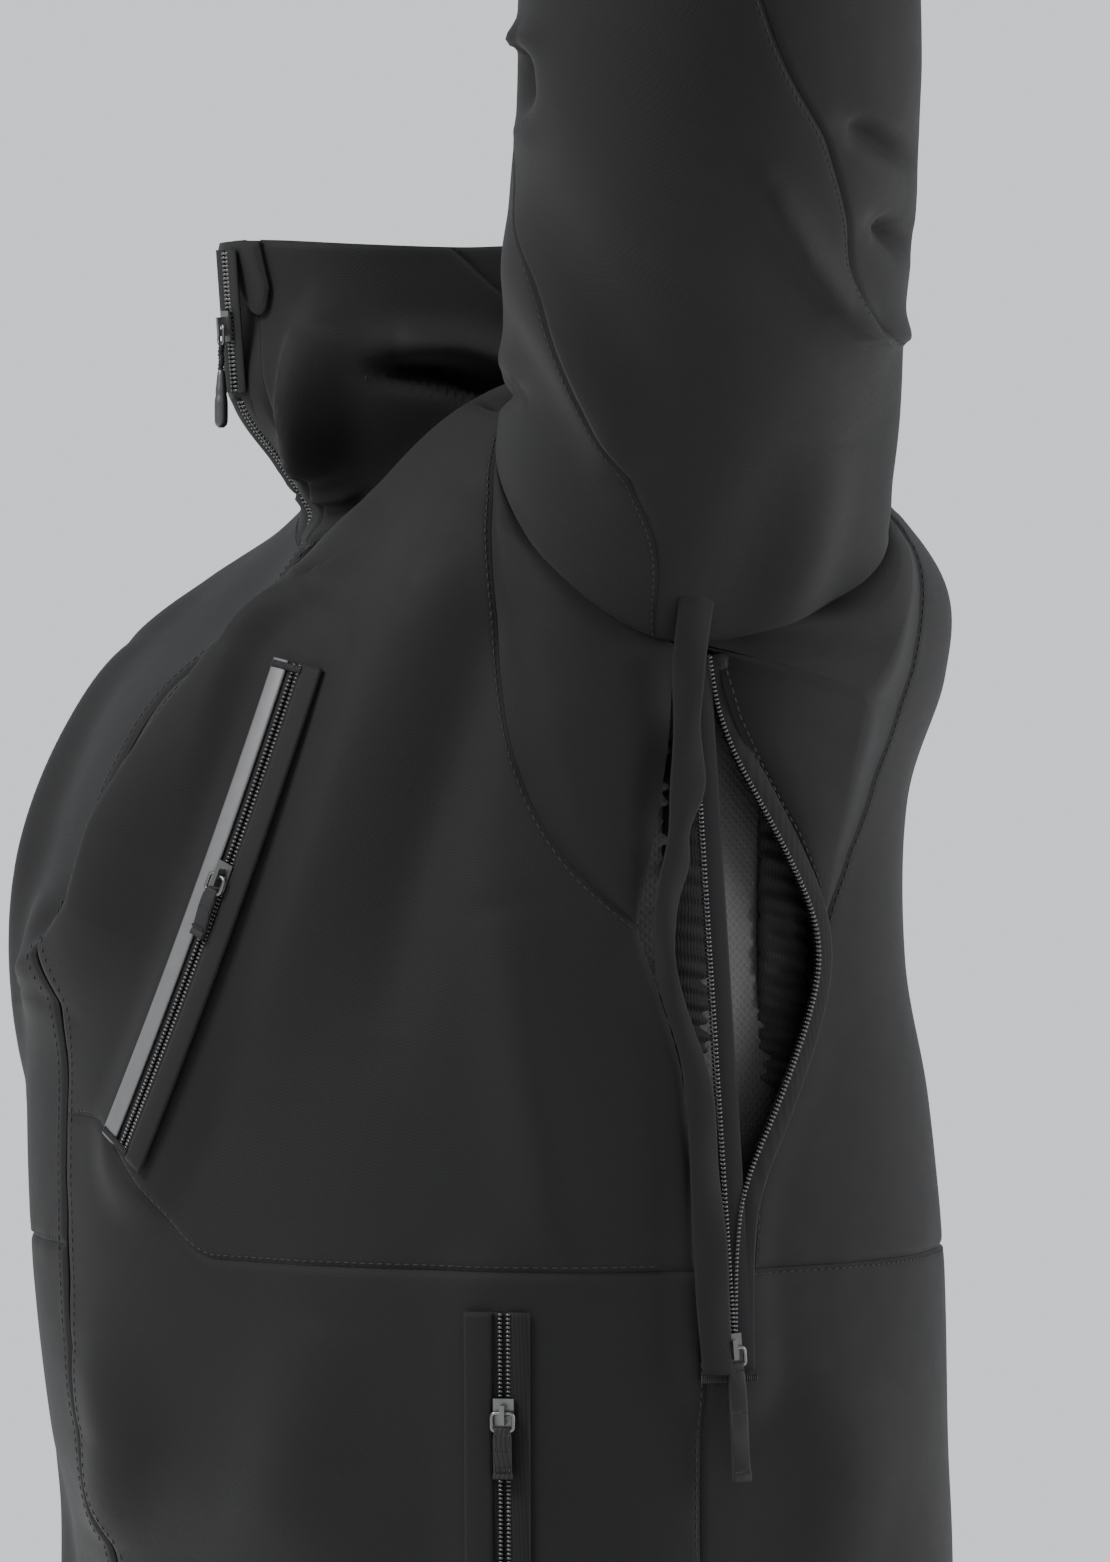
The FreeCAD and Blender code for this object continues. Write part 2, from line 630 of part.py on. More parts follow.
def add_chest_pocket():
    top, middle, bottom = (body(a, b, CHEST_LIFT) for a, b in CHEST_ZIP)
    path = bow(top, middle, bottom, body_normal(*CHEST_ZIP[1]))
    chain = []
    for hand in (1, -1):
        chain = chain + zip_row(path, hand, 16)
    parts["chest_pocket_chain"] = group(chain)
    parts["chest_pocket_welt"] = ribbon(path, CHEST_WELT, WELT_LOW, WELT_HIGH, -WELT_SHIFT, 16)
    point, normal, across = path(CHEST_SLIDER)
    along = path(CHEST_SLIDER + 0.01)[0] - path(CHEST_SLIDER - 0.01)[0]
    add_slider("chest_pocket", point, along.normalize(), normal, tape_puller_shape(24.0))
    parts["chest_pocket_bag"] = oblong(body, 16, 50, 4.9, 8.4, -CLOTH - 3.4, -CLOTH - 2.2, 8, 14)


def add_hand_pocket(side, hand):
    (top_theta, top_level), (low_theta, low_level) = HAND_ZIP
    top = body(side * top_theta, top_level, HAND_LIFT)
    low = body(side * low_theta, low_level, HAND_LIFT)
    normal = body_normal(side * top_theta, (top_level + low_level) / 2)
    path = rail(top, low, normal)
    chain = []
    for row in (1, -1):
        chain = chain + zip_row(path, row, 1)
    parts["hand_pocket_chain_" + hand] = group(chain)
    welt = ribbon(path, HAND_WELT, WELT_LOW, WELT_HIGH, -side * WELT_SHIFT, 1)
    parts["hand_pocket_welt_" + hand] = welt
    point, flat, across = path(HAND_SLIDER)
    add_slider("hand_pocket_" + hand, point, (low - top).normalize(), flat, tape_puller_shape(24.0))
    parts["hand_pocket_bag_" + hand] = oblong(body, side * 30, side * 68, 1.3, 3.7,
                                              -CLOTH - 4.4, -CLOTH - 3.2, 8, 16)


# ---- pit zips ----
PIT_X = 237.5                           # the left zip's front row is a straight line in this plane
PIT_FOOT_Y, PIT_HEAD_Y = 19.0, -1.0
PIT_BOTTOM, PIT_TOP = -383.0, -91.0
PIT_SPREAD = 62.0                       # how far the open vent's rear edge stands back
PIT_SLIDER_UP = 9.0                     # the sliders stand this far up from the zips' feet
RIGHT_PIT_THETA, RIGHT_PIT_LEVELS, RIGHT_PIT_LIFT = -90.6, (3.75, 6.1), 4.2


def pit_front(t):
    return V(PIT_X, PIT_FOOT_Y + (PIT_HEAD_Y - PIT_FOOT_Y) * t, PIT_BOTTOM + (PIT_TOP - PIT_BOTTOM) * t)


def pit_rear(t):
    """The open zip's rear row: it leaves the straight front row and comes back at the top."""
    spread = PIT_SPREAD * math.sin(math.pi * smoothstep(t)) ** 2
    point = pit_front(t) + V(-spread * spread / 260.0, spread, 0)
    normal = V(1, spread / 130.0, 0).normalize()
    return point, normal, V(-normal.y, normal.x, 0)


def add_pit_left():
    line = rail(pit_front(0), pit_front(1), V(1, 0, 0))
    parts["pit_zip_front_left"] = group(zip_row(line, 1, 1))
    parts["pit_zip_back_left"] = group(zip_row(pit_rear, 1, 24))
    parts["pit_flap_left"] = ribbon(line, 15.0, 3.4, 5.0, 14.5, 1)
    down = (pit_front(0) - pit_front(1)).normalize()
    add_slider("pit_zip_left", pit_front(0) - down * PIT_SLIDER_UP, down, V(1, 0, 0), tape_puller_shape(52.0))
    parts["pit_mesh_left"] = oblong(body, 80, 118, 4.2, 7.6, -22, -21, 8, 12)
    bands = [oblong(body, a, a + 7, 4.4, 7.4, -19.5, -18.0, 3, 12) for a in (87, 107)]
    parts["pit_bands_left"] = group(bands)


def add_pit_right():
    bottom, top = (body(RIGHT_PIT_THETA, level, RIGHT_PIT_LIFT) for level in RIGHT_PIT_LEVELS)
    line = rail(top, bottom, V(-1, 0, 0))
    chain = []
    for row in (1, -1):
        chain = chain + zip_row(line, row, 1)
    parts["pit_zip_right"] = group(chain)
    flat = line(0)[1]
    down = (bottom - top).normalize()
    add_slider("pit_zip_right", bottom - down * PIT_SLIDER_UP, down, flat, tape_puller_shape(24.0))


# ---- fittings ----
HANG_RADIUS, HANG_CORD = 22.0, 1.5      # hanging loop inside the back of the neck
HANG_Y, HANG_Z = 60.0, 22.0


def add_fittings():
    ring = Part.makeTorus(HANG_RADIUS, HANG_CORD, V(0, HANG_Y, HANG_Z), V(0, 1, 0))
    below = box(4 * HANG_RADIUS, 20, 60, V(0, HANG_Y, HANG_Z - 60))
    parts["hang_loop"] = ring.common(below)


def main():
    add_body()
    for side, hand in ((1, "left"), (-1, "right")):
        add_sleeve(side, hand)
        add_hand_pocket(side, hand)
    add_collar()
    add_main_zip()
    add_chest_pocket()
    add_pit_left()
    add_pit_right()
    add_fittings()
    os.makedirs("parts", exist_ok=True)
    for name, shape in parts.items():
        shape.exportStep("parts/" + name + ".step")


main()
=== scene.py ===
"""Ski jacket in worn shape: the looks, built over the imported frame.

The cloth lies on the same surfaces as the CAD panels: the body over (theta, level) and each
sleeve over (psi, t), in millimetres. Folds, seams, stitches and zips are added on them.
"""
import math
import bpy
import numpy as np
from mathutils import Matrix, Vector, noise


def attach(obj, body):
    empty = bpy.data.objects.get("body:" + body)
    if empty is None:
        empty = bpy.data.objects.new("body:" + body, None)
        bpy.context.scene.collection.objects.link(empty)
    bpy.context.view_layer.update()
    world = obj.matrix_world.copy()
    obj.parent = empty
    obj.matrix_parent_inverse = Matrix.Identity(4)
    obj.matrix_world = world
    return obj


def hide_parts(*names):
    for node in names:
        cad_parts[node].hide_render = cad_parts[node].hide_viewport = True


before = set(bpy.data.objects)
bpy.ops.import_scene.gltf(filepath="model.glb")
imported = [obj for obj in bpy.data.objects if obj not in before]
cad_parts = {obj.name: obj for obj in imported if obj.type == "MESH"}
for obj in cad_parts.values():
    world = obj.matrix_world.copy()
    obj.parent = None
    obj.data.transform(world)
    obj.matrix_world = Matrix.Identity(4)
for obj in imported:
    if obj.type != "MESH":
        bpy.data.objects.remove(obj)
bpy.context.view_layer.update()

MM = 0.001
WAIST, WAIST_RISE, YOKE, NECK, COLLAR_TOP = 4.1, 0.8, 9.5, 12.0, 16.0
FRONT_SQUARENESS, BACK_SQUARENESS, COLLAR_SQUARER = 1.85, 2.4, 0.35
FRONT_EDGE, COLLAR_EDGE = 1.2, 5.0      # half the gap between the two front edges
ROOT = "shell"
CELL = 3.6

# height at front, left, back, right; half width left, right; depth front, back; middle Y; turn
RINGS = np.array([
    (-745, -745, -745, -745, 236, 236, 150, 190, 0, 0),
    (-600, -600, -600, -600, 236, 236, 150, 193, 0, 0),
    (-482, -482, -482, -482, 232, 232, 157, 193, 0, 0),
    (-425, -425, -425, -425, 230, 230, 171, 190, 0, 0),
    (-349, -349, -349, -349, 230, 230, 181, 186, 0, 0),
    (-280, -280, -280, -280, 232, 230, 183, 176, 0, 0),
    (-221, -221, -221, -221, 234, 228, 180, 162, 0, 0),
    (-180, -150, -160, -160, 235, 226, 172, 163, 0, 0),
    (-140, -88, -115, -118, 235, 220, 156, 184, 0, 0),
    (-110, -38, -80, -84, 228, 204, 136, 186, 0, 0),
    (-84, 8, -46, -58, 186, 170, 102, 158, 0, 0),
    (-64, 30, -18, -38, 130, 126, 78, 116, 0, 4),
    (-50, 6, 10, -16, 82, 80, 70, 76, 0, 8),
    (-30, 18, 28, 0, 76, 76, 66, 73, -4, 14),
    (10, 38, 46, 28, 75, 75, 90, 72, -12, 15),
    (49, 58, 62, 54, 74, 74, 80, 76, -22, 8),
    (79, 77, 76, 77, 72, 72, 80, 82, -28, 6),
], dtype=float)
# Armholes on the body, (theta, level) at every 45 degrees from the back over the top to the front.
ARMHOLES = {
    1: np.array([(121, 9.55), (114, 10.4), (96, 10.95), (80, 10.75),
                 (72, 9.9), (76, 8.8), (89, 8.05), (109, 8.5)], dtype=float),
    -1: np.array([(127, 8.65), (116, 10.05), (90, 10.65), (64, 10.05),
                  (53, 8.65), (64, 7.25), (90, 6.65), (116, 7.25)], dtype=float),
}
ARM_POINTS = {
    1: np.array([(180, 34, -22), (238, 10, 42), (290, -12, 98), (336, -31, 150), (348, -40, 204),
                 (320, -50, 246), (270, -62, 276), (212, -74, 308), (156, -86, 340)], dtype=float),
    -1: np.array([(-208, 6, -122), (-276, 14, -158), (-328, 26, -228), (-344, 38, -298),
                  (-349, 44, -363), (-351, 46, -425), (-352, 46, -486), (-353, 44, -547),
                  (-353, 40, -608)], dtype=float),
}
ARM_RADII = np.array([90, 86, 82, 81, 78, 73, 69, 65, 58], dtype=float)
ARM_FRONT = {1: np.array((-0.036, -0.94, -0.342)), -1: np.array((0.0, -1.0, 0.0))}
CUFF_START = 8 - 62.0 / 65.0
SIDE_SEAM = 92.0


# ---- small mathematics ----
def unit(v):
    return v / np.maximum(np.linalg.norm(v, axis=-1, keepdims=True), 1e-9)


def smoothstep(t):
    t = np.clip(t, 0.0, 1.0)
    return t * t * (3 - 2 * t)


def smooth(table, t):
    """Rows of a table at fractional places t, by a Catmull-Rom curve."""
    table = np.asarray(table, dtype=float)
    last = len(table) - 1
    t = np.asarray(t, dtype=float)
    i = np.clip(np.floor(t).astype(int), 0, last - 1)
    f = t - i
    if table.ndim > 1:
        f = f[..., None]
    p0, p1, p2, p3 = (table[np.clip(i + k, 0, last)] for k in (-1, 0, 1, 2))
    return 0.5 * (2 * p1 + (p2 - p0) * f + (2 * p0 - 5 * p1 + 4 * p2 - p3) * f ** 2
                  + (3 * p1 - p0 - 3 * p2 + p3) * f ** 3)


# ---- surfaces ----
def body_skin(theta, level):
    theta, level = np.broadcast_arrays(np.asarray(theta, float), np.asarray(level, float))
    row = smooth(RINGS, level)
    z_front, z_left, z_back, z_right, left, right, front, back, y_mid, turn = np.moveaxis(row, -1, 0)
    s, c = np.sin(np.radians(theta)), np.cos(np.radians(theta))
    z_side = np.where(s >= 0, z_left, z_right)
    z_end = np.where(c >= 0, z_front, z_back)
    height = z_side * s * s + z_end * c * c
    turned = np.radians(theta + turn * (1 + np.cos(np.radians(theta))) / 2)
    s, c = np.sin(turned), np.cos(turned)
    width = np.where(s >= 0, left, right)
    depth = np.where(c >= 0, front, back)
    power = np.where(c >= 0, FRONT_SQUARENESS + COLLAR_SQUARER * smoothstep((level - 11) / 2),
                     BACK_SQUARENESS)
    radius = (np.abs(s / width) ** power + np.abs(c / depth) ** power) ** (-1 / power)
    return np.stack([radius * s, y_mid - radius * c, height], axis=-1)


def armhole(side, alpha):
    """(theta, level) on an armhole: alpha 180 front, 270 bottom, 0 back, 90 top."""
    ring = ARMHOLES[side]
    ring = np.concatenate([ring[-1:], ring, ring[:2]])
    place = smooth(ring, (np.asarray(alpha, float) % 360) / 45 + 1)
    return side * place[..., 0], place[..., 1]


class Body:
    steps = (0.4, 0.02)

    def skin(self, theta, level):
        return body_skin(theta, level)

    def normal(self, theta, level):
        da, db = self.steps
        across = self.skin(theta + da, level) - self.skin(theta - da, level)
        up = self.skin(theta, level + db) - self.skin(theta, level - db)
        return unit(np.cross(across, up))


class Sleeve:
    def __init__(self, side):
        self.side = side

    def skin(self, psi, t):
        psi, t = np.broadcast_arrays(np.asarray(psi, float), np.asarray(t, float))
        points = ARM_POINTS[self.side]
        middle = smooth(points, t)
        along = unit(smooth(points, t + 0.02) - smooth(points, t - 0.02))
        front = ARM_FRONT[self.side]
        front = unit(front - along * (along @ front)[..., None])
        under = np.cross(along, front) * self.side
        a = np.radians(psi)[..., None]
        round_arm = (front * np.cos(a) + under * np.sin(a)) * smooth(ARM_RADII, t)[..., None]
        theta, level = armhole(self.side, 180 + psi)
        at_armhole = body_skin(theta, level) - points[0]
        share = smoothstep(t / 2.2)[..., None]
        return middle + at_armhole * (1 - share) + round_arm * share

    def normal(self, psi, t):
        across = self.skin(psi + 0.5, t) - self.skin(psi - 0.5, t)
        up = self.skin(psi, t + 0.02) - self.skin(psi, t - 0.02)
        own = unit(np.cross(across, up)) * self.side
        middle = smooth(ARM_POINTS[self.side], t)
        spoke = self.skin(psi, t) - middle
        own = own * np.sign(np.sum(own * spoke, axis=-1, keepdims=True))
        theta, level = armhole(self.side, 180 + np.asarray(psi, float))
        near = smoothstep(1 - np.asarray(t, float) / 0.6)[..., None]
        return unit(own * (1 - near) + BODY.normal(theta, level) * near)


BODY = Body()
SLEEVES = {1: Sleeve(1), -1: Sleeve(-1)}


# ---- folds: each lies along a line drawn square to a viewing direction ----
FOLDS = []
DRAPE = 4.2
FOLD_DEPTH = 2.6            # multiplies every fold height below


def fold(azimuth, points, height, width, other_width=None):
    """A ridge (height > 0) or hollow along points (across, z) seen from an azimuth."""
    FOLDS.append((azimuth, np.array(points, dtype=float), height * FOLD_DEPTH, width, other_width or width))


def relief(point, normal):
    """Height of all folds over the smooth surface."""
    total = np.zeros(point.shape[:-1])
    for azimuth, line, height, width, other in FOLDS:
        a = math.radians(azimuth)
        across = point @ np.array((math.cos(a), math.sin(a), 0.0))
        facing = normal @ np.array((math.sin(a), -math.cos(a), 0.0))
        seen = smoothstep((facing + 0.05) / 0.35)
        p = np.stack([across, point[..., 2]], axis=-1)
        best = np.full(across.shape, 1e9)
        place = np.zeros(across.shape)
        hand = np.zeros(across.shape)
        lengths = np.linalg.norm(np.diff(line, axis=0), axis=1)
        run = np.concatenate([[0], np.cumsum(lengths)]) / lengths.sum()
        for k in range(len(line) - 1):
            d = line[k + 1] - line[k]
            w = p - line[k]
            f = np.clip((w @ d) / (d @ d), 0, 1)
            gap = w - f[..., None] * d
            far = np.linalg.norm(gap, axis=-1)
            closer = far < best
            best = np.where(closer, far, best)
            place = np.where(closer, run[k] + f * (run[k + 1] - run[k]), place)
            hand = np.where(closer, d[0] * w[..., 1] - d[1] * w[..., 0], hand)
        wide = np.where(hand > 0, width, other)
        ends = np.sin(np.pi * np.clip(place, 0.02, 0.98)) ** 0.5
        total = total + height * ends * seen * np.exp(-(best / wide) ** 2)
    return total


CARRIERS = []


def carry(path, clearance, flat, fade):
    """The cloth rises to just under a straight zip that stands off the smooth surface."""
    CARRIERS.append((np.array(path, dtype=float), clearance, flat, fade))


def carried(point, normal):
    flat_points, flat_normals = point.reshape(-1, 3), normal.reshape(-1, 3)
    total = np.zeros(len(flat_points))
    for path, clearance, flat, fade in CARRIERS:
        low, high = path.min(axis=0) - 45, path.max(axis=0) + 45
        near = np.nonzero(np.all((flat_points > low) & (flat_points < high), axis=1))[0]
        if not len(near):
            continue
        gap = path[:, None, :] - flat_points[near][None]
        nearest = np.argmin(np.sum(gap * gap, axis=-1), axis=0)
        gap = gap[nearest, np.arange(len(near))]
        rise = np.sum(gap * flat_normals[near], axis=-1)
        aside = np.sqrt(np.maximum(np.sum(gap * gap, axis=-1) - rise ** 2, 0))
        weight = 1 - smoothstep((aside - flat) / fade)
        total[near] = np.maximum(total[near], np.clip(rise - clearance, 0, 14) * weight)
    return total.reshape(point.shape[:-1])


def drape(point):
    """Slow unevenness of hanging cloth."""
    flat = point.reshape(-1, 3) * np.array((0.011, 0.011, 0.006))
    value = np.array([noise.noise(Vector(p)) for p in flat])
    return value.reshape(point.shape[:-1]) * DRAPE


def cloth(surface, a, b, lift=0.0):
    point = surface.skin(a, b)
    normal = surface.normal(a, b)
    raised = carried(point, normal)
    wave = (relief(point, normal) + drape(point)) * np.exp(-raised / 3.0)
    return point + normal * (wave + raised + lift)[..., None]


# ---- panels ----
def curve(points, per_span=24):
    points = np.array(points, dtype=float)
    return smooth(points, np.linspace(0, len(points) - 1, per_span * (len(points) - 1) + 1))


def line(a, b, count=40):
    return np.array(a, float) + (np.array(b, float) - np.array(a, float)) * np.linspace(0, 1, count)[:, None]


def arc_of(side, alpha_0, alpha_1, count=40):
    theta, level = armhole(side, np.linspace(alpha_0, alpha_1, count))
    return np.stack([theta, level], axis=-1)


def join(*lines):
    return np.concatenate([lines[0]] + [x[1:] for x in lines[1:]])


def spaced(length, cell=CELL):
    """Places from 0 to 1 with finer steps beside both ends."""
    ends = np.array([0, 0.7, 1.6, 2.8, 4.4])
    if length < 4 * ends[-1]:
        return np.linspace(0, 1, max(4, int(length / 1.6)))
    count = max(3, int(round((length - 2 * ends[-1]) / cell)))
    inner = np.linspace(ends[-1], length - ends[-1], count + 1)
    return np.concatenate([ends[:-1], inner, length - ends[:-1][::-1]]) / length


def resample(surface, path, places):
    p = surface.skin(path[:, 0], path[:, 1])
    run = np.concatenate([[0], np.cumsum(np.linalg.norm(np.diff(p, axis=0), axis=1))])
    run = run / run[-1]
    return np.stack([np.interp(places, run, path[:, k]) for k in (0, 1)], axis=-1)


def length_of(surface, path):
    p = surface.skin(path[:, 0], path[:, 1])
    return np.linalg.norm(np.diff(p, axis=0), axis=1).sum()


def coons_grid(surface, bottom, top, left, right, cell=CELL, level_rows=False):
    wide = max(length_of(surface, bottom), length_of(surface, top))
    tall = max(length_of(surface, left), length_of(surface, right))
    u, v = spaced(wide, cell), spaced(tall, cell)
    b, t = resample(surface, bottom, u), resample(surface, top, u)
    l, r = resample(surface, left, v), resample(surface, right, v)
    if level_rows:
        l = np.stack([np.interp(r[:, 1], left[:, 1], left[:, 0]), r[:, 1]], axis=-1)
    uu, vv = u[:, None, None], v[None, :, None]
    ruled_v = b[:, None] * (1 - vv) + t[:, None] * vv
    ruled_u = l[None] * (1 - uu) + r[None] * uu
    corners = ((b[0] * (1 - uu) + b[-1] * uu) * (1 - vv) + (t[0] * (1 - uu) + t[-1] * uu) * vv)
    return ruled_v + ruled_u - corners


def steps_along(grid, axis):
    gap = np.linalg.norm(np.diff(grid, axis=axis), axis=-1)
    zero = np.zeros_like(np.take(gap, [0], axis=axis))
    return np.concatenate([zero, np.cumsum(gap, axis=axis)], axis=axis)


def edge_distance(points):
    across, along = steps_along(points, 0), steps_along(points, 1)
    return np.minimum.reduce([across, across[-1:] - across, along, along[:, -1:] - along])


SEAM_DEPTH = 1.3
SEAM_WIDTH = 1.9


def mesh_from_grid(name, points, uv=None, flip=False):
    n, m = points.shape[:2]
    index = np.arange(n * m).reshape(n, m)
    quads = np.stack([index[:-1, :-1], index[1:, :-1], index[1:, 1:], index[:-1, 1:]], axis=-1).reshape(-1, 4)
    if flip:
        quads = quads[:, ::-1]
    mesh = bpy.data.meshes.new(name)
    mesh.from_pydata((points.reshape(-1, 3) * MM).tolist(), [], quads.tolist())
    if uv is not None:
        layer = mesh.uv_layers.new(name="cloth")
        loops = uv.reshape(-1, 2)[quads.reshape(-1)] * 0.01
        layer.data.foreach_set("uv", loops.astype(np.float32).ravel())
    mesh.shade_smooth()
    item = bpy.data.objects.new(name, mesh)
    bpy.context.collection.objects.link(item)
    return item


def thicken(item, thickness):
    solid = item.modifiers.new("thickness", "SOLIDIFY")
    solid.thickness = thickness * MM
    solid.offset = -1
    return item


def pucker(points, distance):
    """Small uneven gathers beside the seams."""
    flat = points.reshape(-1, 3) * 0.045
    value = np.array([noise.noise(Vector(p)) for p in flat]).reshape(distance.shape)
    return value * np.exp(-distance / 9.0) * 1.1


def dress(item, material, body=ROOT, replaces=()):
    """Give a piece its material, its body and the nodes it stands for."""
    item.data.materials.append(material)
    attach(item, body)
    for node_name in replaces:
        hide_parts(node_name)
    return item


def sheet(name, grid, thickness, material, body=ROOT, replaces=(), flip=False):
    """A piece of cloth over a grid of points."""
    uv = np.stack([steps_along(grid, 0), steps_along(grid, 1)], axis=-1)
    return dress(thicken(mesh_from_grid(name, grid, uv, flip), thickness), material, body, replaces)


def panel(name, surface, bottom, top, left, right, slot="shell", cell=CELL, thickness=1.1, lift=0.0,
          material=None, groove=True, body=ROOT, replaces=(), level_rows=False):
    domain = coons_grid(surface, bottom, top, left, right, cell, level_rows)
    a, b = domain[..., 0], domain[..., 1]
    points = cloth(surface, a, b, lift)
    normal = surface.normal(a, b)
    distance = edge_distance(points)
    if groove:
        drop = -SEAM_DEPTH * np.exp(-(distance / SEAM_WIDTH) ** 2) + pucker(points, distance)
        points = points + normal * drop[..., None]
    i, j = points.shape[0] // 2, points.shape[1] // 2
    facing = np.cross(points[i, j] - points[i - 1, j], points[i, j] - points[i, j - 1])
    flip = float(facing @ normal[i, j]) < 0
    return sheet(name, points, thickness, material or MATERIALS[slot], body, replaces, flip)


# ---- materials ----
def new_material(name, color, roughness, metallic=0.0):
    material = bpy.data.materials.new(name)
    material.use_nodes = True
    shader = material.node_tree.nodes["Principled BSDF"]
    shader.inputs["Base Color"].default_value = (*color, 1)
    shader.inputs["Roughness"].default_value = roughness
    shader.inputs["Metallic"].default_value = metallic
    return material, material.node_tree, shader


def node(tree, kind, **inputs):
    made = tree.nodes.new(kind)
    for key, value in inputs.items():
        made.inputs[key.replace("_", " ")].default_value = value
    return made


def varied(tree, shader, color, coords, scale, spread, low_rough, high_rough):
    """Uneven colour and roughness from slow noise."""
    slow = node(tree, "ShaderNodeTexNoise", Scale=scale, Detail=5.0, Roughness=0.6)
    tree.links.new(coords, slow.inputs["Vector"])
    mix = tree.nodes.new("ShaderNodeMix")
    mix.data_type = "RGBA"
    mix.inputs["A"].default_value = (*[c * (1 - spread) for c in color], 1)
    mix.inputs["B"].default_value = (*[c * (1 + spread) for c in color], 1)
    tree.links.new(slow.outputs["Fac"], mix.inputs["Factor"])
    rough = tree.nodes.new("ShaderNodeMapRange")
    rough.inputs["To Min"].default_value = low_rough
    rough.inputs["To Max"].default_value = high_rough
    tree.links.new(slow.outputs["Fac"], rough.inputs["Value"])
    tree.links.new(rough.outputs["Result"], shader.inputs["Roughness"])
    return mix


def waves(tree, coords, scale, direction, turn=0.0):
    place = tree.nodes.new("ShaderNodeMapping")
    place.inputs["Rotation"].default_value = (0, 0, math.radians(turn))
    tree.links.new(coords, place.inputs["Vector"])
    wave = node(tree, "ShaderNodeTexWave", Scale=scale, Distortion=0.4, Detail=1.0)
    wave.wave_type = "BANDS"
    wave.bands_direction = direction
    tree.links.new(place.outputs["Vector"], wave.inputs["Vector"])
    return wave.outputs["Fac"]


def times(tree, a, b):
    product = tree.nodes.new("ShaderNodeMath")
    product.operation = "MULTIPLY"
    tree.links.new(a, product.inputs[0])
    tree.links.new(b, product.inputs[1])
    return product.outputs[0]


def woven(name, color, thread, depth, roughness=(0.66, 0.84), spread=0.22, sheen=0.02, rib=False, on_uv=True):
    """Woven cloth: a fine diagonal twill, or ribs across a tape; thread is the pitch in millimetres."""
    material, tree, shader = new_material(name, color, roughness[0])
    shader.inputs["Sheen Weight"].default_value = sheen
    shader.inputs["Sheen Roughness"].default_value = 0.5
    shader.inputs["Specular IOR Level"].default_value = 0.11
    space = tree.nodes.new("ShaderNodeTexCoord")
    slow_scale = 7.0
    if on_uv:
        coords, scale = space.outputs["UV"], 31.4 / thread
    else:
        coords, scale, slow_scale = space.outputs["Object"], 314.0 / thread, 60.0
    mix = varied(tree, shader, color, coords, slow_scale, spread, *roughness)
    first = waves(tree, coords, scale, "X", 0 if rib else 38)
    weave = first if rib else times(tree, first, waves(tree, coords, scale * 0.8, "Y", 10))
    tone = tree.nodes.new("ShaderNodeMix")
    tone.data_type = "RGBA"
    tone.blend_type = "MULTIPLY"
    tone.inputs["B"].default_value = (0.5, 0.5, 0.5, 1)
    tree.links.new(weave, tone.inputs["Factor"])
    tree.links.new(mix.outputs["Result"], tone.inputs["A"])
    tree.links.new(tone.outputs["Result"], shader.inputs["Base Color"])
    bump = node(tree, "ShaderNodeBump", Strength=0.35, Distance=depth * MM)
    tree.links.new(weave, bump.inputs["Height"])
    tree.links.new(bump.outputs["Normal"], shader.inputs["Normal"])
    return material


def netting():
    """Open mesh lining: light threads round holes that are painted shade, near black where the mesh is open.
    """
    material, tree, shader = new_material("open_mesh", (0.005, 0.005, 0.0055), 0.7)
    shader.inputs["Sheen Weight"].default_value = 0.02
    coords = tree.nodes.new("ShaderNodeTexCoord").outputs["UV"]
    holes = times(tree, waves(tree, coords, 12.0, "X", 45), waves(tree, coords, 12.0, "X", -45))
    mix = tree.nodes.new("ShaderNodeMix")
    mix.data_type = "RGBA"
    mix.inputs["A"].default_value = (0.0045, 0.0045, 0.0048, 1)
    # painted shade: the holes get this near-black colour in place of the dark seen through the openings
    mix.inputs["B"].default_value = (0.001, 0.001, 0.001, 1)
    sharp = node(tree, "ShaderNodeMapRange", From_Min=0.25, From_Max=0.45)
    tree.links.new(holes, sharp.inputs["Value"])
    tree.links.new(sharp.outputs["Result"], mix.inputs["Factor"])
    tree.links.new(mix.outputs["Result"], shader.inputs["Base Color"])
    bump = node(tree, "ShaderNodeBump", Strength=0.6, Distance=0.4 * MM)
    bump.invert = True
    tree.links.new(sharp.outputs["Result"], bump.inputs["Height"])
    tree.links.new(bump.outputs["Normal"], shader.inputs["Normal"])
    return material


def hard(name, color, roughness, metallic=0.0, spread=0.25, grain=900.0, depth=0.05):
    """Metal or moulded plastic with fine grain and rubbed patches."""
    material, tree, shader = new_material(name, color, roughness[0], metallic)
    coords = tree.nodes.new("ShaderNodeTexCoord").outputs["Object"]
    mix = varied(tree, shader, color, coords, 140.0, spread, *roughness)
    tree.links.new(mix.outputs["Result"], shader.inputs["Base Color"])
    fine = node(tree, "ShaderNodeTexNoise", Scale=grain, Detail=3.0)
    tree.links.new(coords, fine.inputs["Vector"])
    bump = node(tree, "ShaderNodeBump", Strength=0.3, Distance=depth * MM)
    tree.links.new(fine.outputs["Fac"], bump.inputs["Height"])
    tree.links.new(bump.outputs["Normal"], shader.inputs["Normal"])
    return material


